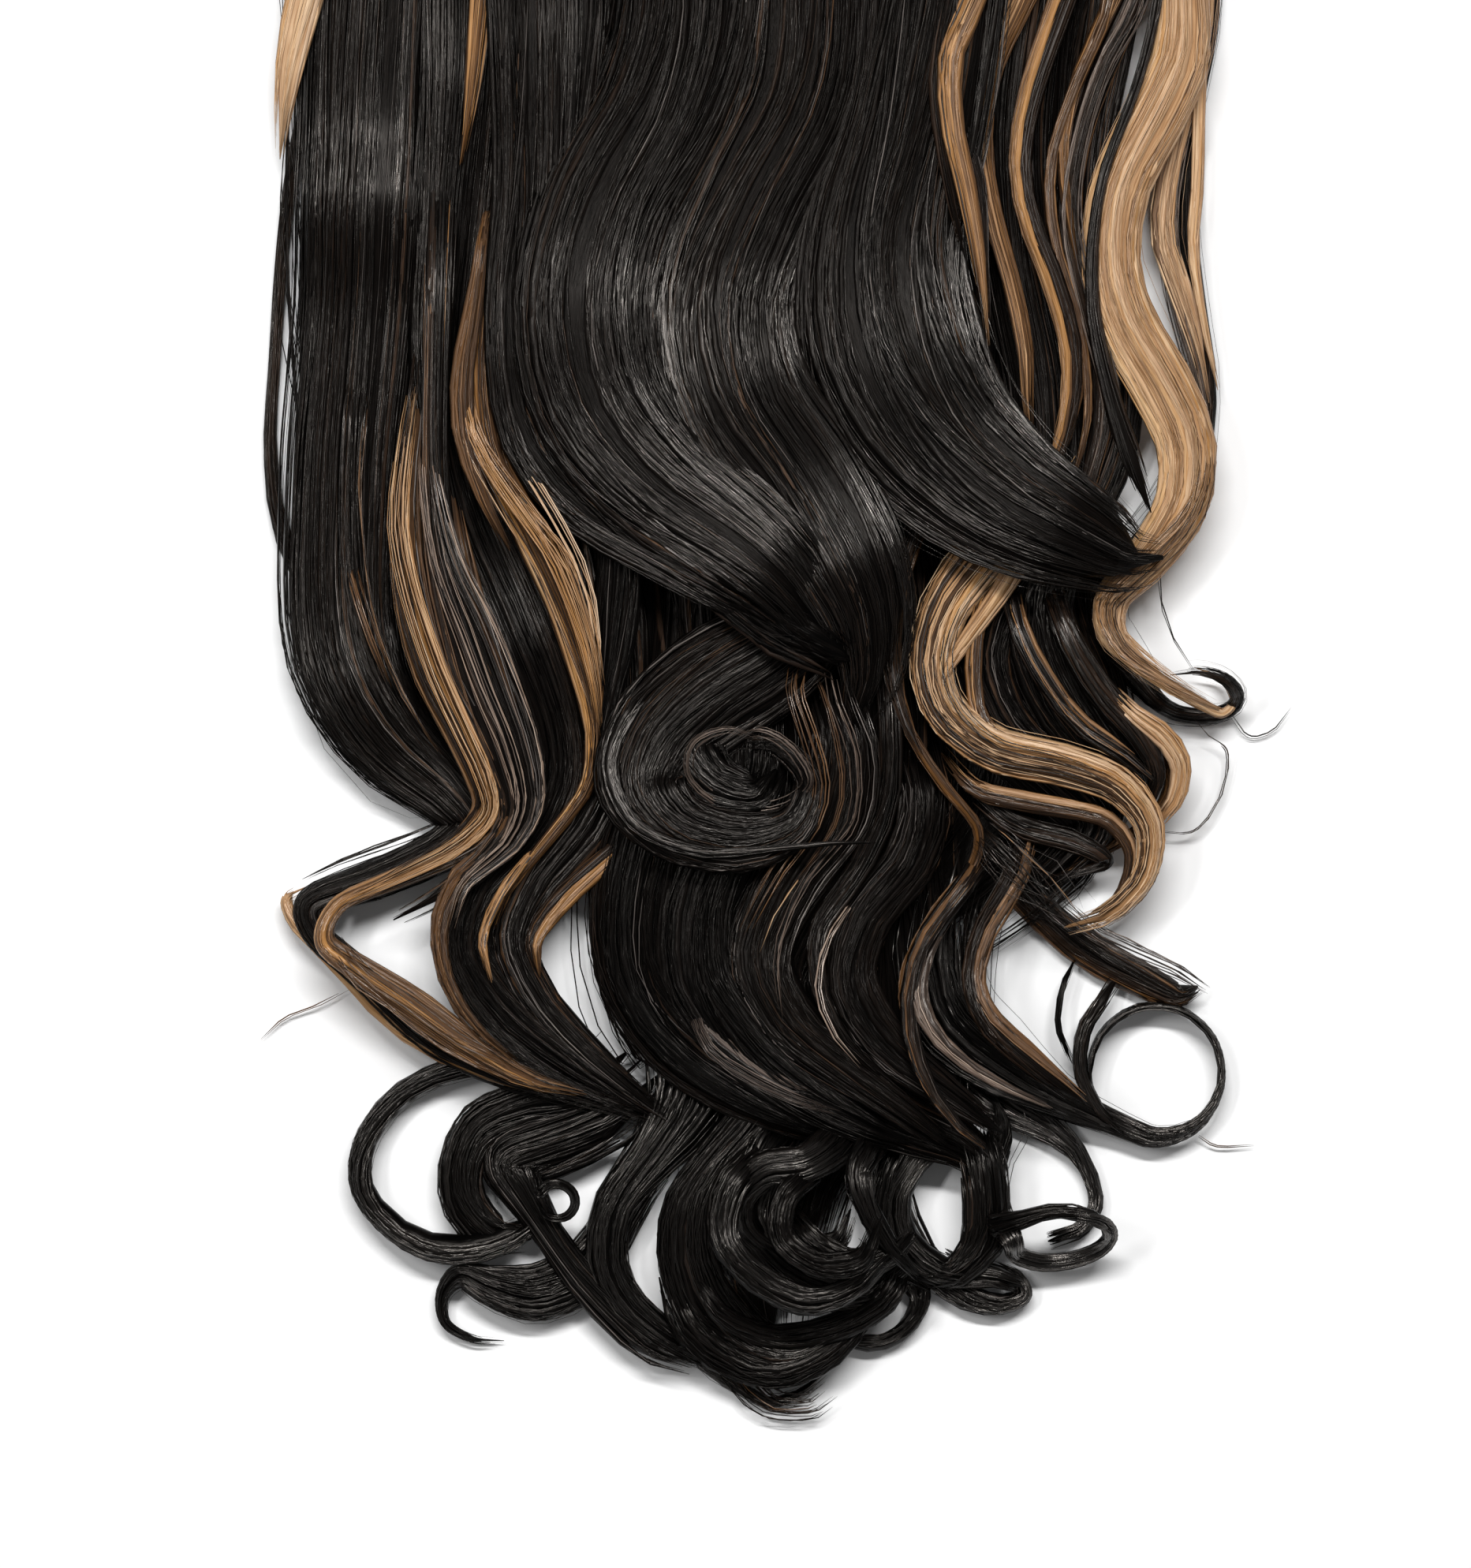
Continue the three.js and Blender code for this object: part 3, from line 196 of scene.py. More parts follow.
CARAMEL_LOCKS = [
    dict(name="caramel_right_big", hair="caramel", level=0.62, thick=0.8, roll=0, folds=[
        [0, 0.84, 0.1], [0.15, 0.88, 0.11], [0.26, 0.92, 0.12], [0.295, 0.915, 0.14], [0.325, 0.86, 0.14],
        [0.36, 0.79, 0.13], [0.4, 0.77, 0.13], [0.43, 0.8, 0.14], [0.465, 0.88, 0.15], [0.495, 0.93, 0.14],
        [0.525, 0.92, 0.13], [0.552, 0.85, 0.11], [0.574, 0.77, 0.08], [0.593, 0.77, 0.07],
        [0.61, 0.84, 0.06], [0.624, 0.93, 0.05], [0.631, 1, 0.03]]),
    dict(name="caramel_right_a", hair="amber", level=0.98, thick=0.5, roll=0, folds=[
        [0, 0.54, 0.06], [0.15, 0.56, 0.07], [0.25, 0.52, 0.08], [0.28, 0.465, 0.06], [0.305, 0.44, 0.055],
        [0.335, 0.45, 0.055], [0.365, 0.48, 0.05], [0.4, 0.49, 0.04], [0.425, 0.5, 0.03],
        [0.445, 0.505, 0.012]]),
    dict(name="caramel_right_b", hair="amber", broad=0.8, level=0.8, thick=0.5, roll=0, folds=[
        [0, 0.62, 0.06], [0.15, 0.64, 0.07], [0.25, 0.6, 0.08], [0.28, 0.545, 0.07], [0.31, 0.5, 0.065],
        [0.345, 0.495, 0.055], [0.38, 0.52, 0.055], [0.41, 0.555, 0.055], [0.445, 0.585, 0.055],
        [0.475, 0.59, 0.04], [0.495, 0.6, 0.015]]),
    dict(name="caramel_right_c", hair="amber", level=0.75, thick=0.5, roll=0, folds=[
        [0, 0.71, 0.05], [0.15, 0.72, 0.06], [0.25, 0.68, 0.06], [0.28, 0.64, 0.06], [0.31, 0.6, 0.055],
        [0.345, 0.575, 0.05], [0.375, 0.59, 0.05], [0.41, 0.645, 0.055], [0.445, 0.685, 0.055],
        [0.48, 0.68, 0.05], [0.51, 0.64, 0.04], [0.53, 0.6, 0.02]]),
    dict(name="caramel_right_d", hair="brown", level=0.66, thick=0.4, roll=0, folds=[
        [0, 0.79, 0.03], [0.15, 0.81, 0.04], [0.25, 0.79, 0.04], [0.28, 0.74, 0.035], [0.31, 0.69, 0.03],
        [0.345, 0.665, 0.03], [0.38, 0.68, 0.025], [0.41, 0.7, 0.012]]),
    dict(name="caramel_right_rim", hair="pale", level=0.25, thick=0.5, roll=0, folds=[
        [0, 0.91, 0.04], [0.15, 0.95, 0.04], [0.27, 0.975, 0.035], [0.32, 0.93, 0.04], [0.355, 0.895, 0.05],
        [0.385, 0.885, 0.06], [0.41, 0.915, 0.06], [0.44, 0.955, 0.05], [0.475, 0.985, 0.02]]),
    dict(name="caramel_s", hair="blend", level=0.72, thick=0.7, roll=0, folds=[
        [0.48, 0.74, 0.05], [0.515, 0.64, 0.09], [0.55, 0.5, 0.13], [0.578, 0.415, 0.11],
        [0.607, 0.385, 0.09], [0.632, 0.415, 0.09], [0.652, 0.52, 0.095], [0.66, 0.66, 0.09],
        [0.671, 0.78, 0.08], [0.692, 0.845, 0.06], [0.718, 0.835, 0.05], [0.737, 0.76, 0.055],
        [0.744, 0.67, 0.04]]),
    dict(name="caramel_thin", hair="brown", broad=0.62, level=0.85, thick=0.4, roll=0, folds=[
        [0.5, 0.44, 0.03], [0.54, 0.36, 0.05], [0.57, 0.32, 0.05], [0.605, 0.31, 0.045],
        [0.64, 0.335, 0.04], [0.67, 0.41, 0.04], [0.693, 0.485, 0.035], [0.71, 0.48, 0.04],
        [0.735, 0.4, 0.045], [0.77, 0.33, 0.04], [0.8, 0.345, 0.035], [0.825, 0.4, 0.03],
        [0.845, 0.48, 0.015]]),
    dict(name="caramel_right_lobe", hair="brown", broad=0.5, level=0.3, thick=0.6, roll=0, folds=[
        [0.5, 0.7, 0.05], [0.57, 0.68, 0.05], [0.6, 0.69, 0.06], [0.628, 0.78, 0.08], [0.648, 0.87, 0.09],
        [0.667, 0.905, 0.09], [0.686, 0.87, 0.07], [0.7, 0.79, 0.05], [0.715, 0.68, 0.03],
        [0.725, 0.62, 0.015]]),
    dict(name="caramel_left_long", hair="brown", broad=0.72, level=0.78, thick=0.6, roll=0, folds=[
        [0.33, -0.545, 0.012], [0.375, -0.535, 0.04], [0.42, -0.56, 0.07], [0.46, -0.568, 0.08],
        [0.5, -0.545, 0.08], [0.54, -0.465, 0.1], [0.58, -0.385, 0.12], [0.612, -0.345, 0.11],
        [0.64, -0.325, 0.06], [0.67, -0.34, 0.045], [0.7, -0.43, 0.04], [0.725, -0.51, 0.03],
        [0.745, -0.54, 0.015]]),
    dict(name="caramel_left_outer", hair="amber", broad=0.8, level=0.68, thick=0.6, roll=0, folds=[
        [0.42, -0.685, 0.015], [0.47, -0.695, 0.05], [0.53, -0.72, 0.08], [0.57, -0.712, 0.09],
        [0.61, -0.67, 0.1], [0.65, -0.59, 0.1], [0.68, -0.55, 0.09], [0.7, -0.6, 0.09],
        [0.717, -0.73, 0.06], [0.733, -0.87, 0.05], [0.75, -0.895, 0.055], [0.767, -0.81, 0.08],
        [0.785, -0.7, 0.1], [0.803, -0.6, 0.09], [0.822, -0.47, 0.06], [0.83, -0.34, 0.02]]),
    dict(name="caramel_left_stripes", hair="brown", level=0.8, thick=0.5, roll=0, folds=[
        [0.49, -0.645, 0.02], [0.54, -0.63, 0.07], [0.585, -0.595, 0.1], [0.63, -0.535, 0.1],
        [0.67, -0.495, 0.09], [0.698, -0.52, 0.07], [0.718, -0.61, 0.05], [0.74, -0.65, 0.04],
        [0.768, -0.64, 0.03], [0.795, -0.575, 0.03], [0.815, -0.48, 0.02]]),
    dict(name="caramel_left_tip", hair="amber", level=0.64, thick=0.4, roll=0, folds=[
        [0.64, -0.16, 0.03], [0.685, -0.2, 0.04], [0.708, -0.3, 0.05], [0.73, -0.4, 0.055],
        [0.75, -0.45, 0.04], [0.77, -0.44, 0.02]]),
    dict(name="caramel_left_rim", hair="pale", level=0.55, thick=0.5, roll=0, folds=[
        [0, -0.82, 0.06], [0.15, -0.85, 0.08], [0.25, -0.925, 0.09], [0.29, -0.965, 0.07],
        [0.32, -0.985, 0.04], [0.345, -0.995, 0.015]]),
    dict(name="caramel_top_left", hair="brown", level=0.7, thick=0.4, roll=0, folds=[
        [0, -0.52, 0.04], [0.15, -0.54, 0.05], [0.25, -0.56, 0.06], [0.29, -0.575, 0.05],
        [0.32, -0.59, 0.035], [0.35, -0.61, 0.015]]),
    dict(name="caramel_low_centre", hair="olive", broad=0.7, level=0.75, thick=0.4, roll=0, folds=[
        [0.7, -0.02, 0.03], [0.76, -0.12, 0.03], [0.79, -0.1, 0.04], [0.81, -0.02, 0.06],
        [0.825, 0.08, 0.05], [0.832, 0.18, 0.015]]),
]


# Finer locks that only the visual model has
EXTRA_LOCKS = [
    dict(name="over_sweep_a", hair="amber", gloss=0.35, level=1.4, thick=0.35, folds=[
        (0, 0.49, 0.04), (0.1, 0.52, 0.04), (0.2, 0.54, 0.05), (0.265, 0.48, 0.06), (0.295, 0.43, 0.055), (0.33, 0.43, 0.05), (0.365, 0.46, 0.045),
        (0.4, 0.485, 0.035), (0.445, 0.505, 0.012)]),
    dict(name="over_sweep_b", hair="mixed", gloss=0.35, level=1.3, thick=0.3, folds=[
        (0, 0.47, 0.03), (0.1, 0.49, 0.03), (0.2, 0.5, 0.04), (0.27, 0.42, 0.04), (0.31, 0.395, 0.035), (0.36, 0.42, 0.03), (0.4, 0.455, 0.02)]),
    dict(name="dark_over_big", hair="mixed", level=0.95, thick=0.3, folds=[
        (0.2, 0.88, 0.02), (0.263, 0.865, 0.02), (0.31, 0.82, 0.02), (0.36, 0.745, 0.022), (0.42, 0.725, 0.03),
        (0.47, 0.765, 0.04), (0.505, 0.81, 0.06), (0.53, 0.85, 0.02)]),
    dict(name="between_b", hair="olive", level=0.85, thick=0.2, cored=False, fine=1.8, folds=[
        (0.2, 0.84, 0.04), (0.263, 0.83, 0.04), (0.3, 0.75, 0.04), (0.34, 0.7, 0.04), (0.38, 0.685, 0.05),
        (0.43, 0.73, 0.06), (0.48, 0.77, 0.05), (0.53, 0.71, 0.04)]),
    dict(name="between_c", hair="brown", level=0.8, thick=0.25, folds=[
        (0.22, 0.78, 0.02), (0.27, 0.76, 0.025), (0.31, 0.69, 0.025), (0.35, 0.64, 0.025), (0.39, 0.65, 0.025),
        (0.43, 0.7, 0.025), (0.48, 0.72, 0.02), (0.52, 0.68, 0.015)]),
    dict(name="big_low_brown", hair="amber", level=1.15, thick=0.25, cored=False, fine=2.4, folds=[
        (0.48, 0.96, 0.03), (0.51, 0.97, 0.04), (0.535, 0.93, 0.06), (0.56, 0.83, 0.06), (0.58, 0.755, 0.05),
        (0.6, 0.785, 0.04), (0.615, 0.87, 0.03), (0.626, 0.96, 0.02)]),
    dict(name="curl_caramel", hair="blend", level=0.6, thick=0.25, folds=[
        (0.585, 0.77, 0.015), (0.603, 0.8, 0.02), (0.616, 0.87, 0.025), (0.627, 0.95, 0.025), (0.633, 1.01, 0.02),
        (0.626, 1.035, 0.018), (0.615, 1.01, 0.018), (0.609, 0.95, 0.012)]),
    dict(name="lobe_dark", hair="mixed", level=0.75, thick=0.35, folds=[
        (0.56, 0.64, 0.05), (0.59, 0.67, 0.06), (0.62, 0.74, 0.07), (0.645, 0.83, 0.06), (0.665, 0.865, 0.04),
        (0.685, 0.84, 0.03)]),
    dict(name="lobe_orange", hair="blend", level=0.8, thick=0.3, folds=[
        (0.615, 0.75, 0.02), (0.632, 0.81, 0.035), (0.645, 0.88, 0.045), (0.66, 0.915, 0.045), (0.678, 0.905, 0.035),
        (0.692, 0.86, 0.025)]),
    dict(name="hatch", hair="mixed", level=0.9, thick=0.4, cored=False, fine=1.4, fray=0.6, frizz=16, loose=1.2, folds=[
        (0.69, 0.48, 0.05), (0.705, 0.54, 0.08), (0.722, 0.6, 0.09), (0.738, 0.66, 0.08), (0.748, 0.72, 0.05)]),
    dict(name="bottom_round", hair="deep", level=0.5, thick=0.7, folds=[
        (0.92, -0.16, 0.08), (0.948, -0.12, 0.1), (0.966, -0.03, 0.1), (0.972, 0.07, 0.1), (0.965, 0.16, 0.09),
        (0.948, 0.23, 0.07), (0.93, 0.27, 0.04)]),
    dict(name="outer_brown", hair="olive", level=0.3, thick=0.3, cored=False, fine=3, folds=[
        (0.1, 0.96, 0.05), (0.25, 0.975, 0.05), (0.3, 0.955, 0.05), (0.34, 0.92, 0.06), (0.38, 0.9, 0.07),
        (0.42, 0.925, 0.07), (0.45, 0.96, 0.06), (0.48, 0.98, 0.05), (0.51, 0.96, 0.03)]),
    dict(name="outer_pale", hair="pale", level=0.5, thick=0.3, folds=[
        (0.25, 0.985, 0.02), (0.31, 0.96, 0.025), (0.36, 0.955, 0.025), (0.39, 0.945, 0.025), (0.42, 0.96, 0.02), (0.465, 1.0, 0.012)]),
    dict(name="between_right", hair="mixed", level=0.5, thick=0.5, folds=[
        (0.1, 0.86, 0.05), (0.25, 0.84, 0.05), (0.29, 0.77, 0.05), (0.33, 0.71, 0.05), (0.37, 0.68, 0.06),
        (0.42, 0.71, 0.06), (0.47, 0.75, 0.06), (0.52, 0.71, 0.05), (0.56, 0.66, 0.03)]),
    dict(name="right_dark_fill", hair="dark", level=0.35, thick=0.7, folds=[
        (0.4, 0.62, 0.1), (0.48, 0.68, 0.12), (0.54, 0.66, 0.14), (0.58, 0.62, 0.16), (0.62, 0.66, 0.16),
        (0.65, 0.74, 0.12), (0.67, 0.82, 0.08), (0.69, 0.84, 0.04)]),
    dict(name="olive_right", hair="mixed", level=0.8, thick=0.4, folds=[
        (0.56, 0.55, 0.04), (0.59, 0.575, 0.045), (0.62, 0.64, 0.05), (0.64, 0.71, 0.05), (0.655, 0.8, 0.04),
        (0.668, 0.86, 0.03)]),
    dict(name="brown_inner_right", hair="brown", level=0.85, thick=0.3, folds=[
        (0.56, 0.53, 0.03), (0.58, 0.49, 0.035), (0.61, 0.475, 0.035), (0.635, 0.49, 0.035), (0.648, 0.54, 0.03),
        (0.655, 0.62, 0.02)]),
    dict(name="caramel_s_inner", hair="blend", level=1.0, thick=0.3, folds=[
        (0.52, 0.62, 0.04), (0.555, 0.57, 0.045), (0.585, 0.49, 0.04), (0.61, 0.42, 0.03), (0.62, 0.41, 0.02)]),
    dict(name="under_s", hair="brown", level=0.6, thick=0.4, folds=[
        (0.65, 0.4, 0.03), (0.672, 0.48, 0.04), (0.68, 0.62, 0.045), (0.688, 0.76, 0.04), (0.705, 0.81, 0.03),
        (0.726, 0.79, 0.025), (0.738, 0.72, 0.015)]),
    dict(name="under_s_dark", hair="mixed", level=0.5, thick=0.4, folds=[
        (0.66, 0.42, 0.04), (0.69, 0.56, 0.05), (0.7, 0.7, 0.045), (0.71, 0.76, 0.03), (0.717, 0.68, 0.03),
        (0.722, 0.6, 0.02)]),
    dict(name="brown_low_b", hair="mixed", level=1.1, thick=0.35, folds=[
        (0.7, 0.52, 0.04), (0.725, 0.45, 0.045), (0.755, 0.365, 0.04), (0.79, 0.34, 0.04), (0.82, 0.37, 0.035),
        (0.845, 0.44, 0.03), (0.856, 0.5, 0.02)]),
    dict(name="brown_low_c", hair="mixed", level=1.0, thick=0.4, folds=[
        (0.69, 0.6, 0.05), (0.72, 0.56, 0.05), (0.745, 0.5, 0.05), (0.77, 0.475, 0.05), (0.79, 0.505, 0.06),
        (0.81, 0.59, 0.06), (0.834, 0.71, 0.03)]),
    dict(name="olive_low", hair="ash", level=1.1, thick=0.25, folds=[
        (0.735, 0.44, 0.02), (0.755, 0.38, 0.03), (0.778, 0.36, 0.035), (0.8, 0.4, 0.035), (0.82, 0.5, 0.025),
        (0.836, 0.64, 0.02)]),
    dict(name="brown_centre_a", hair="brown", level=1.3, thick=0.2, cored=False, fine=1.6, folds=[
        (0.6, 0.12, 0.04), (0.62, 0.1, 0.04), (0.645, 0.13, 0.045), (0.67, 0.155, 0.045), (0.69, 0.135, 0.04),
        (0.715, 0.06, 0.04), (0.75, -0.02, 0.03)]),
    dict(name="brown_centre_b", hair="olive", level=1.25, thick=0.2, cored=False, fine=1.4, folds=[
        (0.6, 0.18, 0.06), (0.625, 0.19, 0.06), (0.655, 0.235, 0.06), (0.69, 0.225, 0.05), (0.72, 0.13, 0.05),
        (0.755, 0.07, 0.04), (0.79, 0.08, 0.03)]),
    dict(name="mixed_centre_c", hair="dark", level=0.95, thick=0.4, folds=[
        (0.58, 0.28, 0.05), (0.64, 0.3, 0.05), (0.68, 0.29, 0.05), (0.715, 0.23, 0.05), (0.745, 0.15, 0.045),
        (0.775, 0.15, 0.04), (0.8, 0.2, 0.03), (0.82, 0.28, 0.02)]),
    dict(name="pale_slit", hair="blend", level=1.0, thick=0.2, folds=[
        (0.7, -0.44, 0.015), (0.725, -0.52, 0.02), (0.75, -0.56, 0.02), (0.772, -0.54, 0.012)]),
    dict(name="zigzag_rim", hair="caramel", level=0.25, thick=0.5, folds=[
        (0.722, -0.93, 0.02), (0.729, -0.98, 0.022), (0.741, -0.965, 0.026), (0.756, -0.9, 0.035),
        (0.772, -0.83, 0.06), (0.79, -0.75, 0.08), (0.806, -0.65, 0.08), (0.819, -0.54, 0.05), (0.829, -0.42, 0.03),
        (0.838, -0.3, 0.02)]),
    dict(name="left_red", hair="mixed", level=0.75, thick=0.3, cored=False, fine=3, folds=[
        (0.44, -0.82, 0.05), (0.52, -0.84, 0.06), (0.58, -0.82, 0.06), (0.62, -0.76, 0.06), (0.66, -0.65, 0.04)]),
    dict(name="left_mix_fall", hair="mixed", level=0.9, thick=0.4, folds=[
        (0.3, -0.64, 0.06), (0.42, -0.655, 0.06), (0.5, -0.66, 0.06), (0.56, -0.64, 0.08), (0.61, -0.58, 0.1),
        (0.65, -0.52, 0.1), (0.685, -0.49, 0.08), (0.71, -0.56, 0.06), (0.728, -0.66, 0.05), (0.74, -0.75, 0.03)]),
    dict(name="left_olive", hair="ash", level=1.05, thick=0.2, cored=False, fine=3, folds=[
        (0.47, -0.68, 0.02), (0.51, -0.67, 0.05), (0.555, -0.635, 0.07), (0.59, -0.575, 0.09), (0.62, -0.53, 0.1),
        (0.65, -0.485, 0.09), (0.68, -0.465, 0.07), (0.7, -0.5, 0.05), (0.722, -0.6, 0.03), (0.745, -0.63, 0.02)]),
    dict(name="thin_red", hair="amber", level=1.0, thick=0.2, cored=False, fine=2.6, folds=[
        (0.5, 0.41, 0.03), (0.54, 0.35, 0.05), (0.57, 0.31, 0.06), (0.605, 0.3, 0.05), (0.635, 0.33, 0.04),
        (0.66, 0.38, 0.02)]),
    dict(name="left_a_dark", hair="mixed", level=0.95, thick=0.2, cored=False, fine=1.5, folds=[
        (0.42, -0.69, 0.03), (0.47, -0.69, 0.06), (0.53, -0.71, 0.09), (0.57, -0.7, 0.1), (0.61, -0.655, 0.1),
        (0.65, -0.575, 0.1), (0.68, -0.54, 0.1), (0.7, -0.6, 0.09), (0.717, -0.73, 0.06), (0.733, -0.86, 0.04)]),
    dict(name="left_a_light", hair="blend", level=1.0, thick=0.2, cored=False, fine=3, folds=[
        (0.44, -0.7, 0.02), (0.487, -0.72, 0.04), (0.533, -0.735, 0.05), (0.557, -0.722, 0.05), (0.583, -0.695, 0.05),
        (0.613, -0.654, 0.05), (0.643, -0.599, 0.045), (0.667, -0.555, 0.045), (0.684, -0.545, 0.04), (0.7, -0.6, 0.04),
        (0.718, -0.74, 0.03), (0.732, -0.87, 0.02)]),
    dict(name="left_a_low_dark", hair="brown", level=0.95, thick=0.2, cored=False, fine=1, folds=[
        (0.745, -0.89, 0.03), (0.765, -0.83, 0.07), (0.785, -0.72, 0.09), (0.803, -0.62, 0.08), (0.82, -0.48, 0.05)]),
    dict(name="s_dark", hair="mixed", level=1.0, thick=0.15, cored=False, fine=0.7, folds=[
        (0.5, 0.68, 0.05), (0.53, 0.59, 0.08), (0.555, 0.51, 0.1), (0.58, 0.43, 0.08), (0.607, 0.4, 0.07),
        (0.632, 0.43, 0.06), (0.652, 0.52, 0.06), (0.66, 0.66, 0.05), (0.672, 0.77, 0.04), (0.69, 0.83, 0.03)]),
    dict(name="left_b_one", hair="blend", level=1.1, thick=0.25, cored=False, fine=2.6, folds=[
        (0.44, -0.6, 0.02), (0.49, -0.58, 0.05), (0.525, -0.5, 0.07), (0.553, -0.42, 0.08),
        (0.583, -0.365, 0.08), (0.613, -0.33, 0.06), (0.645, -0.31, 0.02)]),
    dict(name="left_b_two", hair="blend", level=1.1, thick=0.2, cored=False, fine=2.4, folds=[
        (0.515, -0.5, 0.01), (0.53, -0.462, 0.03), (0.55, -0.394, 0.035), (0.57, -0.353, 0.035), (0.595, -0.325, 0.03),
        (0.62, -0.305, 0.015)]),
    dict(name="left_b_three", hair="pale", level=1.15, thick=0.15, cored=False, fine=2, folds=[
        (0.5, -0.49, 0.02), (0.53, -0.41, 0.025), (0.56, -0.345, 0.03), (0.585, -0.32, 0.025), (0.62, -0.315, 0.012)]),
    dict(name="left_b_red", hair="brown", level=1.1, thick=0.3, folds=[
        (0.36, -0.545, 0.01), (0.41, -0.57, 0.03), (0.46, -0.6, 0.05), (0.49, -0.595, 0.05), (0.52, -0.56, 0.03),
        (0.55, -0.5, 0.02)]),
    dict(name="left_spark", hair="brown", level=0.9, thick=0.15, cored=False, folds=[
        (0.555, -0.84, 0.02), (0.575, -0.82, 0.03), (0.6, -0.785, 0.03), (0.62, -0.75, 0.02)]),
    dict(name="ring1_left", hair="deep", level=0.3, thick=0.6, folds=[
        (0.85, 0.34, 0.08), (0.875, 0.29, 0.06), (0.9, 0.28, 0.06), (0.92, 0.33, 0.06), (0.93, 0.4, 0.04)]),
    dict(name="ring1_right", hair="deep", level=0.5, thick=0.8, folds=[
        (0.845, 0.47, 0.1), (0.862, 0.49, 0.1), (0.885, 0.505, 0.1), (0.905, 0.5, 0.1), (0.921, 0.45, 0.08),
        (0.926, 0.37, 0.05)]),
    dict(name="ring2_bottom", hair="deep", level=0.9, thick=0.4, folds=[
        (0.9, 0.49, 0.06), (0.896, 0.56, 0.04), (0.89, 0.64, 0.03), (0.893, 0.72, 0.035), (0.902, 0.77, 0.03)]),
    dict(name="lobe2_fill", hair="deep", level=0.3, thick=0.5, folds=[
        (0.918, 0.4, 0.08), (0.924, 0.46, 0.06), (0.926, 0.53, 0.045), (0.931, 0.585, 0.03)]),
    dict(name="wedge_band", hair="deep", level=1.3, thick=0.5, folds=[
        (0.85, 0.28, 0.08), (0.868, 0.235, 0.06), (0.888, 0.25, 0.05), (0.908, 0.3, 0.05), (0.922, 0.36, 0.04)]),
    dict(name="wedge_low", hair="deep", level=1.2, thick=0.5, folds=[
        (0.89, 0.06, 0.08), (0.908, 0.13, 0.08), (0.916, 0.22, 0.07), (0.912, 0.3, 0.05), (0.9, 0.35, 0.03)]),
    dict(name="fly_right", hair="dark", level=0.1, thick=0.1, cored=False, fine=0, fray=0, folds=[
        (0.63, 1.02, 0.01), (0.645, 1.07, 0.01), (0.642, 1.12, 0.01), (0.63, 1.16, 0.01)]),
    dict(name="fly_left", hair="brown", level=0.1, thick=0.1, cored=False, fine=0, fray=0, folds=[
        (0.775, -0.84, 0.015), (0.785, -0.92, 0.015), (0.792, -0.99, 0.015), (0.803, -1.04, 0.02)]),
    dict(name="fly_ring", hair="brown", level=0.1, thick=0.1, cored=False, fine=0, fray=0, folds=[
        (0.85, 0.95, 0.015), (0.857, 1.0, 0.015), (0.857, 1.08, 0.02)]),
    dict(name="tip_fringe", hair="mixed", level=0.2, thick=0.3, cored=False, fine=2, fray=0.6, folds=[
        (0.95, -0.06, 0.08), (0.975, -0.02, 0.09), (0.991, 0.05, 0.08), (0.992, 0.13, 0.08), (0.984, 0.18, 0.08)]),
    dict(name="zigzag_fringe", hair="dark", level=0.4, thick=0.3, cored=False, fine=1.6, fray=0.7, folds=[
        (0.688, -0.6, 0.06), (0.698, -0.68, 0.06), (0.707, -0.78, 0.06), (0.714, -0.87, 0.05), (0.722, -0.95, 0.03)]),
    dict(name="coil_outer", hair="deep", level=1.5, thick=0.6, folds=[
        (0.855, 0.06, 0.06), (0.875, -0.03, 0.07), (0.902, -0.05, 0.07), (0.924, 0.02, 0.07), (0.935, 0.12, 0.07),
        (0.928, 0.22, 0.06), (0.91, 0.3, 0.04)]),
    dict(name="coil_inner", hair="deep", level=1.75, thick=0.5, folds=[
        (0.862, 0.18, 0.05), (0.88, 0.08, 0.06), (0.9, 0.07, 0.06), (0.915, 0.15, 0.055), (0.912, 0.24, 0.05),
        (0.89, 0.28, 0.03)]),
    dict(name="coil_low", hair="deep", level=1.6, thick=0.5, folds=[
        (0.915, 0.34, 0.05), (0.938, 0.28, 0.06), (0.952, 0.17, 0.065), (0.956, 0.05, 0.06), (0.945, -0.05, 0.05),
        (0.925, -0.11, 0.03)]),
    dict(name="low_wave_a", hair="deep", gloss=0.4, level=0.5, thick=0.8, folds=[
        (0.6, -0.16, 0.16), (0.65, -0.16, 0.18), (0.69, -0.19, 0.18), (0.73, -0.22, 0.18), (0.765, -0.21, 0.18),
        (0.795, -0.14, 0.17), (0.82, -0.02, 0.14), (0.84, 0.12, 0.1), (0.85, 0.22, 0.04)]),
    dict(name="low_wave_b", hair="deep", gloss=0.4, level=0.6, thick=0.8, folds=[
        (0.6, 0.0, 0.16), (0.66, 0.02, 0.18), (0.7, -0.04, 0.18), (0.735, -0.1, 0.18), (0.77, -0.1, 0.18),
        (0.8, -0.02, 0.17), (0.825, 0.1, 0.14), (0.845, 0.24, 0.1), (0.855, 0.34, 0.04)]),
    dict(name="low_wave_c", hair="dark", gloss=0.5, level=0.7, thick=0.7, folds=[
        (0.6, 0.14, 0.12), (0.65, 0.2, 0.14), (0.69, 0.17, 0.15), (0.725, 0.08, 0.15), (0.76, 0.03, 0.15),
        (0.79, 0.08, 0.14), (0.815, 0.2, 0.12), (0.84, 0.34, 0.08), (0.855, 0.42, 0.04)]),
    dict(name="low_wave_d", hair="dark", gloss=0.5, level=0.7, thick=0.7, folds=[
        (0.64, 0.34, 0.1), (0.68, 0.37, 0.11), (0.71, 0.34, 0.12), (0.74, 0.25, 0.12), (0.77, 0.22, 0.12),
        (0.8, 0.28, 0.12), (0.83, 0.42, 0.08), (0.85, 0.54, 0.04)]),
    dict(name="swirl_fill", hair="deep", level=0.75, thick=0.7, folds=[
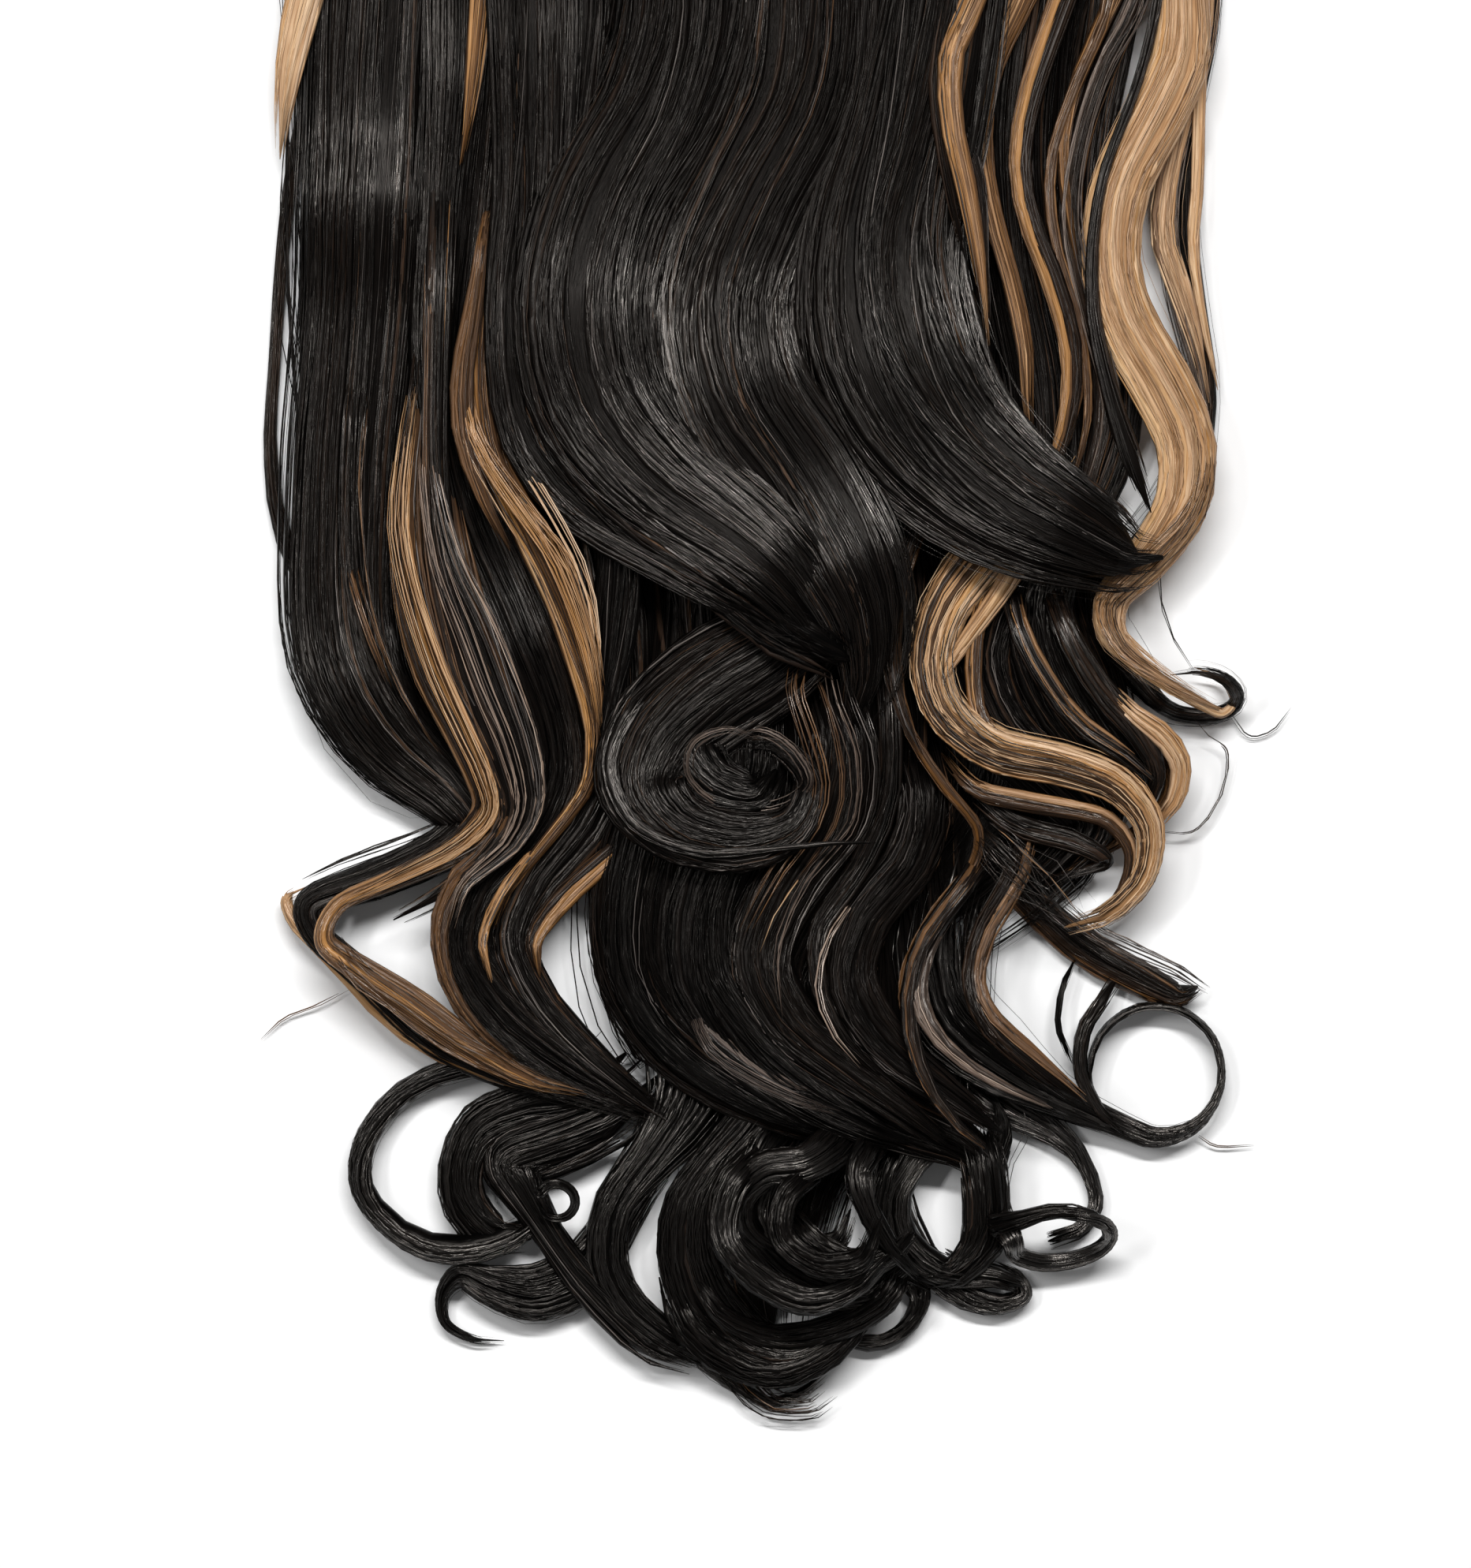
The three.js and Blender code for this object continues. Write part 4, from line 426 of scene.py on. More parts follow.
        (0.575, 0.12, 0.16), (0.6, 0.02, 0.2), (0.625, -0.09, 0.2), (0.65, -0.13, 0.16), (0.668, -0.08, 0.12),
        (0.674, 0.02, 0.1), (0.662, 0.06, 0.05)]),
    dict(name="swirl_ring", hair="olive", level=1.45, thick=0.15, cored=False, fine=2.6, folds=[
        (0.652, -0.06, 0.02), (0.643, 0.02, 0.025), (0.652, 0.09, 0.03), (0.67, 0.125, 0.03), (0.681, 0.06, 0.035),
        (0.678, -0.06, 0.035), (0.664, -0.12, 0.03), (0.65, -0.11, 0.03), (0.643, -0.04, 0.025), (0.65, 0.04, 0.02)]),
    # A dark, dull lock laid where the waves turn down into shade: painted shade.
    dict(name="black_mass", hair="deep", level=1.05, thick=0.5, gloss=0.1, ragged=0.5, fray=0.6, folds=[
        (0.556, -0.14, 0.05), (0.566, -0.06, 0.11), (0.578, 0.03, 0.17), (0.59, 0.12, 0.19), (0.606, 0.22, 0.11)]),
    dict(name="swirl_edge", hair="dark", level=1.15, thick=0.3, folds=[
        (0.6, -0.12, 0.06), (0.63, -0.24, 0.05), (0.66, -0.29, 0.04), (0.69, -0.24, 0.035), (0.705, -0.1, 0.03),
        (0.703, 0.06, 0.015), (0.7, 0.2, 0.012), (0.7, 0.27, 0.01)]),
    dict(name="centre_shadow", hair="deep", level=0.9, thick=0.4, gloss=0.3, folds=[
        (0.5, -0.3, 0.08), (0.54, -0.27, 0.1), (0.57, -0.27, 0.1), (0.6, -0.28, 0.09), (0.63, -0.3, 0.06), (0.66, -0.32, 0.03)]),
    dict(name="strand_mid_a", hair="brown", level=1.45, thick=0.15, cored=False, folds=[
        (0.61, 0.14, 0.01), (0.64, 0.18, 0.015), (0.67, 0.2, 0.015), (0.692, 0.18, 0.012), (0.72, 0.1, 0.01)]),
    dict(name="strand_mid_b", hair="blend", level=1.3, thick=0.12, cored=False, fine=1.2, folds=[
        (0.715, 0.12, 0.01), (0.735, 0.06, 0.015), (0.76, 0.02, 0.012)]),
    dict(name="strand_mid_c", hair="mixed", level=1.1, thick=0.15, cored=False, folds=[
        (0.61, 0.21, 0.01), (0.65, 0.27, 0.015), (0.69, 0.255, 0.015), (0.715, 0.18, 0.012), (0.745, 0.1, 0.01),
        (0.775, 0.07, 0.01)]),
    dict(name="strand_low_a", hair="ash", level=1.25, thick=0.12, cored=False, folds=[
        (0.725, 0.24, 0.01), (0.75, 0.17, 0.015), (0.775, 0.15, 0.02), (0.797, 0.18, 0.015), (0.815, 0.24, 0.01)]),
    dict(name="strand_low_b", hair="olive", level=1.25, thick=0.2, cored=False, fine=3, folds=[
        (0.785, -0.12, 0.02), (0.805, -0.08, 0.03), (0.822, 0.02, 0.04), (0.834, 0.13, 0.03), (0.838, 0.2, 0.02)]),
    dict(name="small_ring", hair="deep", level=1.0, thick=0.3, folds=[(0.866, -0.47, 0.03), (0.872, -0.45, 0.025)],
        curl=dict(down=0.885, across=-0.405, size=0.28, tilt=0, turn=0, start=150, sweep=-330, wide=0.02, thick=0.3)),
    dict(name="right_loop", hair="mixed", level=0.3, thick=0.1, cored=False, fray=0, folds=[
        (0.63, 0.93, 0.01), (0.645, 0.98, 0.01), (0.652, 1.02, 0.008), (0.675, 1.01, 0.008), (0.694, 0.95, 0.008),
        (0.694, 0.87, 0.01)]),
    dict(name="right_thread", hair="deep", level=0.5, thick=0.1, cored=False, fray=0, folds=[
        (0.53, 0.885, 0.01), (0.565, 0.872, 0.008), (0.59, 0.895, 0.008), (0.612, 0.95, 0.01)]),
    dict(name="ring_second", hair="mixed", level=0.3, thick=0.4, folds=[
        (0.765, 0.8, 0.03), (0.78, 0.76, 0.03), (0.797, 0.715, 0.03), (0.818, 0.705, 0.03), (0.838, 0.74, 0.03),
        (0.852, 0.8, 0.02)]),
    dict(name="ring_thread", hair="deep", level=0.3, thick=0.15, folds=[
        (0.76, 0.7, 0.015), (0.775, 0.67, 0.012), (0.795, 0.66, 0.012), (0.815, 0.69, 0.015)]),
    dict(name="roll_top", hair="olive", level=0.45, thick=0.4, cored=False, fine=2.4, folds=[
        (0.73, 0.66, 0.05), (0.747, 0.74, 0.05), (0.757, 0.83, 0.05), (0.767, 0.92, 0.04), (0.777, 0.98, 0.015)]),
]



def smooth(x, low, high):
    t = np.clip((np.asarray(x, float) - low) / (high - low), 0, 1)
    return t * t * (3 - 2 * t)


def pile_share(across, down):
    side = 1 - smooth(np.abs(across), 0.9, 1.08)
    return side * (1 - 0.75 * smooth(down, 0.84, 1))


# Paths of locks

def curl_folds(curl):
    """The further folds of a ringlet, as (down, across, wide, rise, thick)."""
    radius = curl["size"] * CURL_RADIUS
    tilt, turn = math.radians(curl["tilt"]), math.radians(curl["turn"])
    steps = round(abs(curl["sweep"]) / CURL_STEP)
    folds = []
    for i in range(steps + 1):
        angle = math.radians(curl["start"] + curl["sweep"] * i / steps)
        along = radius * math.cos(angle)
        aside = radius * math.sin(angle) * math.cos(tilt)
        folds.append((
            curl["down"] - (along * math.sin(turn) + aside * math.cos(turn)) / HAIR_LENGTH,
            curl["across"] + (along * math.cos(turn) - aside * math.sin(turn)) / HALF_WIDTH,
            curl["wide"] * (0.5 if i == steps else 1),
            radius * math.sin(tilt) * (1 + math.sin(angle)),
            curl["thick"] * (1 - 0.5 * i / steps),
        ))
    return folds


def curve(points):
    """Points about a millimetre apart on the centripetal Catmull-Rom curve, and the index of each."""
    ends = np.vstack([2 * points[0] - points[1], points, 2 * points[-1] - points[-2]])
    rows, index = [], []
    for i in range(len(points) - 1):
        p0, p1, p2, p3 = ends[i:i + 4]
        d0, d1, d2 = (max(np.linalg.norm(b - a) ** 0.5, 1e-3) for a, b in ((p0, p1), (p1, p2), (p2, p3)))
        m1 = ((p1 - p0) / d0 - (p2 - p0) / (d0 + d1) + (p2 - p1) / d1) * d1
        m2 = ((p2 - p1) / d1 - (p3 - p1) / (d1 + d2) + (p3 - p2) / d2) * d1
        count = max(3, int(np.linalg.norm(p2 - p1)))
        t = (np.arange(count) / count)[:, None]
        rows.append((2 * t**3 - 3 * t**2 + 1) * p1 + (t**3 - 2 * t**2 + t) * m1
                    + (3 * t**2 - 2 * t**3) * p2 + (t**3 - t**2) * m2)
        index.append(i + t[:, 0])
    return np.vstack(rows + [points[-1:]]), np.concatenate(index + [[len(points) - 1.0]])


def blurred(values, reach=7):
    padded = np.pad(values, reach, mode="edge")
    return np.convolve(padded, np.ones(2 * reach + 1) / (2 * reach + 1), mode="valid")


def unit(vectors):
    return vectors / np.maximum(np.linalg.norm(vectors, axis=-1, keepdims=True), 1e-9)


def path_of(lock):
    """Middle, half section vectors and place of a lock at closely spaced points, in millimetres."""
    folds = [(d, a, w * lock.get("broad", 1), 0.0, lock["thick"]) for d, a, w in lock["folds"]]
    if "curl" in lock:
        folds += curl_folds(lock["curl"])
    folds = np.array(folds)
    points = np.column_stack([folds[:, 1] * HALF_WIDTH, -folds[:, 0] * HAIR_LENGTH, folds[:, 3]])
    place, index = curve(points)
    known = np.arange(len(folds))
    down, across, wide, thick = (blurred(np.interp(index, known, folds[:, k])) for k in (0, 1, 2, 4))
    wide = wide * HALF_WIDTH
    along = unit(np.gradient(place, axis=0))
    rooted = 1 - smooth(down, BAND_DEPTH / HAIR_LENGTH, ROOT_SHARE)
    full = np.minimum(thick * LOCK_THICKNESS, wide * ROUNDEST)
    thick = full + (np.minimum(TRACK_HEIGHT, full) - full) * rooted
    roll = np.radians(lock.get("roll", 0)) * smooth(index / (len(folds) - 1), 0.3, 0.6)[:, None]
    side = unit(np.cross([0, 0, 1], along))
    up = np.cross(along, side)
    out = side * np.cos(roll) + up * np.sin(roll)
    over = up * np.cos(roll) - side * np.sin(roll)
    reach = np.abs(out[:, 2]) * wide / 2 + np.abs(over[:, 2]) * thick / 2
    bed = lock["level"] * PILE_HEIGHT * pile_share(across, down)
    lift = WAVE_LIFT * lock["level"] * (0.5 + along[:, 0] / 2) * (1 - rooted)
    for place_down, height, spread in CRESTS.get(lock["name"], []):
        lift = lift + height * np.exp(-((down - place_down) / spread) ** 2)
    covered = 1 - smooth(index / (len(folds) - 1), 0, 0.12) if folds[0, 0] > 0.05 else np.zeros(len(index))
    lying = reach + (bed + lift) * (1 - 0.8 * covered) + np.maximum(0, place[:, 2])
    lying = np.minimum(lying, HIGHEST - reach)
    sewn = TRACK_BOTTOMS[lock["track"]] + thick / 2
    middle = np.column_stack([place[:, 0], place[:, 1], lying + (sewn - lying) * rooted])
    turned = np.linalg.norm(np.diff(along, axis=0, append=along[-1:]), axis=1)
    apart = np.linalg.norm(np.diff(middle, axis=0, append=middle[-1:]), axis=1)
    return {
        "middle": middle,
        "out": out * wide[:, None] / 2,
        "over": over * thick[:, None] / 2,
        "wide": wide,
        "cost": np.concatenate([[0], np.cumsum(np.maximum(apart / 11, turned / math.radians(17)))[:-1]]),
        "length": np.concatenate([[0], np.cumsum(apart)[:-1]]),
    }


def at_costs(path, costs, key):
    """A path's points or vectors at an array of costs, of any shape."""
    return np.stack([np.interp(costs, path["cost"], path[key][:, k]) for k in range(3)], axis=-1)


# Meshes

def build_mesh(name, places, faces, tone, rich, sheen, flow, material):
    """A mesh of triangles from points in millimetres, with its looks: shade, colourfulness, sheen and fibre
    coordinates."""
    mesh = bpy.data.meshes.new(name)
    mesh.vertices.add(len(places))
    mesh.vertices.foreach_set("co", (places * MM).astype(np.float32).ravel())
    mesh.loops.add(faces.size)
    mesh.loops.foreach_set("vertex_index", faces.astype(np.int32).ravel())
    mesh.polygons.add(len(faces))
    mesh.polygons.foreach_set("loop_start", np.arange(0, faces.size, faces.shape[1], dtype=np.int32))
    mesh.polygons.foreach_set("use_smooth", np.ones(len(faces), bool))
    mesh.attributes.new("tone", "FLOAT", "POINT").data.foreach_set("value", tone.astype(np.float32))
    mesh.attributes.new("rich", "FLOAT", "POINT").data.foreach_set("value", rich.astype(np.float32))
    mesh.attributes.new("sheen", "FLOAT", "POINT").data.foreach_set("value", sheen.astype(np.float32))
    mesh.attributes.new("flow", "FLOAT_VECTOR", "POINT").data.foreach_set("vector", flow.astype(np.float32).ravel())
    mesh.update(calc_edges=True)
    mesh.validate()
    mesh.materials.append(material)
    piece = bpy.data.objects.new(name, mesh)
    bpy.context.scene.collection.objects.link(piece)
    return piece


def tubes(centres, side, up, sides, spin):
    """Closed tubes round rows of centres, as points and triangles. Arrays run over tube, then station.

    side and up are the half axes of the section at each station."""
    count, stations = centres.shape[:2]
    angle = spin[:, None] + np.arange(sides) * 2 * math.pi / sides
    ring = (np.cos(angle)[:, None, :, None] * side[:, :, None, :]
            + np.sin(angle)[:, None, :, None] * up[:, :, None, :])
    places = centres[:, :, None, :] + ring
    corner = np.arange(count * stations * sides).reshape(count, stations, sides)
    a, b = corner[:, :-1], corner[:, 1:]
    a2, b2 = np.roll(a, -1, axis=2), np.roll(b, -1, axis=2)
    walls = np.concatenate([np.stack([a, a2, b2], -1).reshape(-1, 3), np.stack([a, b2, b], -1).reshape(-1, 3)])
    fans = np.array([(0, k + 1, k) for k in range(1, sides - 1)])
    starts = corner[:, 0][:, fans].reshape(-1, 3)
    stops = corner[:, -1][:, fans[:, ::-1]].reshape(-1, 3)
    return places.reshape(-1, 3), np.concatenate([walls, starts, stops])


def wander(rng, count, spots, share, slow, fast):
    """Slow sideways drifts of strands along their length, between about -1 and 1."""
    total = np.zeros((count, spots))
    for rate, weight in ((slow, 0.7), (fast, 0.3)):
        phase = rng.uniform(0, 2 * math.pi, (count, 1))
        pace = rng.uniform(0.6, 1.4, (count, 1)) * rate
        total += weight * np.sin(phase + pace * share)
    return total


CRESTS = {  # where a lock bulges upwards, as (down, height in millimetres, spread)
    "left_outer": [(0.372, 5, 0.025), (0.62, 3, 0.025)],
    "left_inner_fall": [(0.31, 1.5, 0.02), (0.6, 3, 0.02)],
    "front_left_wave": [(0.43, 1.6, 0.025), (0.557, 6.5, 0.022)],
    "front_left_inner": [(0.3, 1.2, 0.02), (0.44, 1.6, 0.02), (0.56, 6, 0.02)],
    "centre_wave": [(0.46, 2.5, 0.03), (0.562, 5.5, 0.022)],
    "front_sweep": [(0.455, 1.2, 0.03), (0.535, 2.5, 0.02), (0.558, -9, 0.01)],
}
HUES = {  # middle shade, spread, shade of the odd strands, share of odd strands, share of ash strands, colourfulness
    "dark": (0.12, 0.05, 0.4, 0.05, 0.05, 1.0),
    # The next hue is the dark hair made darker still: painted shade for the curls and the shaded hollows under the
    # waves.
    "deep": (0.06, 0.03, 0.28, 0.015, 0.012, 0.9),
    "mixed": (0.22, 0.09, 0.6, 0.14, 0.08, 1.05),
    "brown": (0.52, 0.08, 0.74, 0.2, 0.04, 1.06),
    "olive": (0.5, 0.08, 0.25, 0.25, 0.2, 0.55),
    "blend": (0.82, 0.075, 0.45, 0.15, 0.03, 1.03),
    "amber": (0.63, 0.11, 0.26, 0.38, 0.06, 1.04),
    "ash": (0.62, 0.12, 0.3, 0.25, 0.1, 0.6),
    "caramel": (0.83, 0.035, 0.62, 0.07, 0, 1.0),
    "pale": (0.9, 0.05, 0.7, 0.15, 0, 0.95),
}


def hash_of(name):
    return sum(ord(c) * (k + 3) for k, c in enumerate(name)) % 97


def core(lock, path):
    """The closed inner body of a lock."""
    sides = 18
    spots = max(6, int(path["cost"][-1]))
    costs = np.linspace(0, path["cost"][-1], spots)[None]
    centre, out, over = (at_costs(path, costs, key) for key in ("middle", "out", "over"))
    steps = np.linspace(0, 1, spots)
    first = 0.2 if lock["folds"][0][0] > 0.05 else 0.01
    ends = (0.06 + 0.94 * smooth(steps, 0, first)) * (0.1 + 0.9 * smooth(1 - steps, 0, 0.12))
    ends = ends[None, :, None]
    places, faces = tubes(centre, out * 0.9 * ends, over * 0.84 * ends, sides, np.zeros(1))
    around = np.tile(np.arange(sides) / sides, spots)
    length = np.repeat(np.interp(costs[0], path["cost"], path["length"]), sides)
    flow = np.column_stack([
        np.cos(around * 2 * math.pi) * float(path["wide"].mean()) / 2,
        length * 0.04,
        np.full(len(around), float(hash_of(lock["name"]))),
    ])
    middle, spread, *_, rich = HUES[lock["hair"]]
    whole = np.ones(len(places))
    # The core takes a shade below the lock's middle: painted shade for the hair seen in the gaps between strands.
    return places, faces, whole * (middle - 0.9 * spread), whole * rich, whole * 0.12, flow


def bundle(lock, path, rng, count, half, flat, sides, near, loose=0):
    """Wisps or fine strands over a lock's surface: half is their half width, flat their thickness as a share of it.

    near is the range of their depth, as a share of the lock's half thickness. loose is how far strands may leave
    the lock's sides, as a share of its half width."""
    spots = max(5, int(path["cost"][-1]) + 1)
    late = lock["folds"][0][0] > 0.05
    start = rng.uniform(0, lock.get("ragged", 0.22 if late else 0.02), (count, 1))
    stop = 1 - rng.beta(1.0, 3.0, (count, 1)) * lock.get("fray", 0.16)
    step = np.linspace(0, 1, spots)[None]
    share = start + (stop - start) * step
    costs = share * path["cost"][-1]
    centre, out, over = (at_costs(path, costs, key) for key in ("middle", "out", "over"))

    clumps = lock["clumps"]
    u = rng.uniform(-1, 1, (count, 1)) if flat == 1 else np.linspace(-0.96, 0.96, count)[:, None]
    nearest = np.abs(u - clumps["u"][None]).argmin(axis=1)
    u = u + (clumps["u"][nearest][:, None] - u) * (0.05 + 0.4 * share**2)
    strays = np.where(rng.random((count, 1)) < lock.get("strays", 0.06), 2.8, 1.0) if flat == 1 else 1.0
    u = u + 0.07 * strays * wander(rng, count, spots, share, 9, 21)
    u = u + 0.12 * wander(clumps["rng"](), len(clumps["u"]), spots, share[:1] * 0 + step, 6, 13)[nearest]
    if loose:
        u = u * (1 + loose * 0.4) + loose * wander(rng, count, spots, share, 5, 12) * (0.3 + 0.7 * share)
    inside = np.minimum(0.995, np.abs(u))
    height = np.sqrt(1 - inside**2)
    low = rng.random((count, 1)) < 0.12
    depth = np.where(low, rng.uniform(-0.9, 0.3, (count, 1)), clumps["depth"][nearest][:, None] * rng.uniform(*near, (count, 1)))
    v = height * depth + 0.05 * strays * wander(rng, count, spots, share, 8, 17)

    wide_half = np.linalg.norm(out, axis=-1)
    thick_half = np.linalg.norm(over, axis=-1)
    slope = np.arctan2(np.clip(u, -0.98, 0.98) * thick_half, np.maximum(height, 0.2) * wide_half)
    slope = slope + rng.uniform(-0.3, 0.3, (count, 1))
    side = unit(out) * np.cos(slope)[:, :, None] - unit(over) * np.sin(slope)[:, :, None]
    up = unit(over) * np.cos(slope)[:, :, None] + unit(out) * np.sin(slope)[:, :, None]

    size = rng.uniform(*half, (count, 1)) * np.minimum(1, 0.3 + step * 9) * np.minimum(1, 0.15 + (1 - step) * 5)
    squeeze = np.minimum(1, wide_half / max(1e-6, float(np.percentile(wide_half, 75))))
    size = size * (0.45 + 0.55 * squeeze) if flat < 1 else size
    places = centre + out * u[:, :, None] + over * v[:, :, None]
    places[:, :, 2] = np.maximum(places[:, :, 2], size * flat + 0.05)
    spin = rng.uniform(0, 6.28, count) if flat == 1 else np.full(count, math.pi / 4)
    points, faces = tubes(places, side * size[:, :, None], up * (size * flat)[:, :, None], sides, spin)

    middle, spread, odd, odd_share, ash_share, rich = HUES[lock["hair"]]
    shade = middle + spread * (clumps["shade"][nearest] + 0.7 * rng.standard_normal(count))
    often = clumps["odd"][nearest]
    shade = np.where(rng.random(count) < odd_share * often, odd + 0.7 * spread * rng.standard_normal(count), shade)
    ash = (rng.random(count) < ash_share * often) & (flat == 1)
    shade = np.where(ash, rng.uniform(0.42, 0.6, count), shade)
    shade = shade[:, None] + 0.03 * wander(rng, count, spots, share, 14, 30)
    length = np.interp(costs, path["cost"], path["length"])
    across = np.cos(spin[:, None] + np.arange(sides) * 2 * math.pi / sides)[:, None, :] * size[:, :, None]
    flow = np.stack([
        across + rng.uniform(0, 300, (count, 1, 1)),
        np.repeat(length[:, :, None] * 0.04, sides, 2),
        np.zeros((count, spots, sides)),
    ], -1)
    rich = rich * clumps["rich"][nearest] * rng.uniform(0.9, 1.1, count)
    rich = np.repeat(np.where(ash, 0.3, rich), spots * sides)
    sheen = (1.0 if flat == 1 else 0.4) * clumps["sheen"][nearest] * rng.uniform(0.6, 1.4, count)
    if lock["track"] == "top_hair":
        sheen = sheen[:, None] * (0.62 + 0.75 * smooth(-centre[:, :, 1] / HAIR_LENGTH, 0.3, 0.5))
    else:
        sheen = np.repeat(sheen[:, None], spots, 1)
    sheen = np.repeat(sheen.ravel(), sides)
    return points, faces, np.repeat(shade.ravel(), sides), rich, sheen, flow.reshape(-1, 3)


def clumps_of(lock, path, seed):
    """How the hair of a lock gathers: the places, depths and shades of its clumps."""
    rng = np.random.default_rng(seed)
    count = max(2, int(np.percentile(path["wide"], 75) / 3.4))
    return {
        "u": np.sort(rng.uniform(-0.97, 0.97, count)),
        "depth": rng.uniform(0.92, 1.04, count),
        "shade": 0.6 * rng.standard_normal(count),
        "sheen": rng.uniform(0.35, 1.6, count) * lock.get("gloss", 1),
        "rich": rng.uniform(0.94, 1.06, count),
        "odd": np.where(rng.random(count) < 0.3, 2.8, 0.2),
        "rng": lambda: np.random.default_rng(seed + 7),
    }


def lock_parts(lock):
    """The core, the wisps and the fine strands of a lock."""
    seed = 1000 + hash_of(lock["name"])
    rng = np.random.default_rng(seed)
    path = path_of(lock)
    lock["clumps"] = clumps_of(lock, path, seed)
    wide = float(np.percentile(path["wide"], 75))
    dense = lock.get("dense", 1)
    parts = []
    if lock.get("cored", True):
        parts.append(core(lock, path))
        wisps = max(4, int(wide * dense / 0.85))
        half = min(0.95, wide / 5)
        parts.append(bundle(lock, path, rng, wisps, (half * 0.6, half * 1.3), 0.24, 4, (0.93, 1.0)))
    fine = max(2, int(wide * dense * lock.get("fine", 2.8)))
    parts.append(bundle(lock, path, rng, fine, (0.11, 0.25), 1, 3, (0.96, 1.07)))
    if "frizz" in lock:
        parts.append(bundle(lock, path, rng, lock["frizz"], (0.06, 0.1), 1, 3, (0.9, 1.4), lock.get("loose", 0.3)))
    return parts


def hair_piece(name, locks, material, nodes):
    """One object that holds its locks."""
    parts, at = [], 0
    for lock in locks:
        for places, faces, *looks in lock_parts(lock):
            parts.append((places, faces + at, *looks))
            at += len(places)
    joined = [np.concatenate(arrays) for arrays in zip(*parts)]
    piece = build_mesh(name, *joined, material)
    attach(piece, "root")
    if nodes:
        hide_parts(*nodes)
    print(name, len(joined[1]))
    return piece




# Materials

def new_material(name):
    material = bpy.data.materials.new(name)
    material.use_nodes = True
    tree = material.node_tree
    return material, tree.nodes, tree.links, tree.nodes["Principled BSDF"]


def hair_material(name, roughness):
    """Fibres whose shade comes from the mesh, with finer streaks along them."""
    material, nodes, links, shader = new_material(name)
    tone = nodes.new("ShaderNodeAttribute")
    tone.attribute_name = "tone"
    flow = nodes.new("ShaderNodeAttribute")
    flow.attribute_name = "flow"
    streaks = nodes.new("ShaderNodeTexNoise")
    streaks.inputs["Scale"].default_value = 2.2
    streaks.inputs["Detail"].default_value = 3
    links.new(flow.outputs["Vector"], streaks.inputs["Vector"])
    amount = nodes.new("ShaderNodeMath")
    amount.operation = "MULTIPLY_ADD"
    amount.inputs[1].default_value = 0.44
    amount.inputs[2].default_value = -0.22
    links.new(streaks.outputs["Fac"], amount.inputs[0])
    total = nodes.new("ShaderNodeMath")
    total.operation = "ADD"
    total.use_clamp = True
    links.new(tone.outputs["Fac"], total.inputs[0])
    links.new(amount.outputs[0], total.inputs[1])
    ramp = nodes.new("ShaderNodeValToRGB")
    stops = [(0.0, (0.001, 0.0009, 0.0009)), (0.2, (0.006, 0.0045, 0.0038)), (0.4, (0.032, 0.0185, 0.012)),
             (0.6, (0.13, 0.068, 0.034)), (0.8, (0.40, 0.223, 0.108)), (1.0, (0.72, 0.5, 0.3))]
    for place, colour in stops[1:-1]:
        ramp.color_ramp.elements.new(place)
    for element, (place, colour) in zip(ramp.color_ramp.elements, stops):
        element.position = place
        element.color = (*colour, 1)
    links.new(total.outputs[0], ramp.inputs["Fac"])
    rich = nodes.new("ShaderNodeAttribute")
    rich.attribute_name = "rich"
    hue = nodes.new("ShaderNodeHueSaturation")
    links.new(ramp.outputs["Color"], hue.inputs["Color"])
    links.new(rich.outputs["Fac"], hue.inputs["Saturation"])
    links.new(hue.outputs["Color"], shader.inputs["Base Color"])
    bump = nodes.new("ShaderNodeBump")
    bump.inputs["Strength"].default_value = 0.8
    bump.inputs["Distance"].default_value = 0.0003
    links.new(streaks.outputs["Fac"], bump.inputs["Height"])
    links.new(bump.outputs["Normal"], shader.inputs["Normal"])
    gloss = nodes.new("ShaderNodeMapRange")
    gloss.inputs["To Min"].default_value = roughness - 0.06
    gloss.inputs["To Max"].default_value = roughness + 0.1
    links.new(streaks.outputs["Fac"], gloss.inputs["Value"])
    links.new(gloss.outputs["Result"], shader.inputs["Roughness"])
    sheen = nodes.new("ShaderNodeAttribute")
    sheen.attribute_name = "sheen"
    level = nodes.new("ShaderNodeMath")
    level.operation = "MULTIPLY"
    level.inputs[1].default_value = 0.5
    links.new(sheen.outputs["Fac"], level.inputs[0])
    links.new(level.outputs[0], shader.inputs["Specular IOR Level"])
    shader.inputs["Specular Tint"].default_value = (1, 0.92, 0.85, 1)
    shader.inputs["IOR"].default_value = 1.5
    return material


HAIR = hair_material("hair_fibre", 0.24)

# The hair
# Curls painted in the darker hue: their extra darkness is painted shade for their hollows.
SHADED_CURLS = ["left_ring", "left_lobe", "left_lobe_inner", "low_left_lobe", "low_centre_left", "low_centre", "low_arc",
               "tip_wisp", "low_centre_ring", "right_ring_a", "right_band", "right_thin_ring", "right_low_lobe",
               "right_low_ring", "ringlet_fall"]
FRIZZY = {"left_outer": 16, "front_sweep": 12, "front_left_wave": 12, "right_edge": 16, "ringlet_fall": 6,
          "left_inner_fall": 14, "lower_centre_wave": 14, "centre_swirl": 16, "low_centre": 14, "tip_wisp": 14,
          "caramel_right_big": 12, "caramel_right_rim": 12, "caramel_s": 8, "caramel_left_outer": 10,
          "low_left_lobe": 8, "left_ring": 4, "right_roll": 4}
LOOSE = {"right_edge": 1.1, "tip_wisp": 1.6, "caramel_right_rim": 0.9, "right_roll": 0.3, "ringlet_fall": 0.5}
for lock in [*TOP_LOCKS, *UNDER_LOCKS, *CARAMEL_LOCKS]:
    if lock["name"] in FRIZZY:
        lock["frizz"] = FRIZZY[lock["name"]]
        lock["loose"] = LOOSE.get(lock["name"], 0.3)
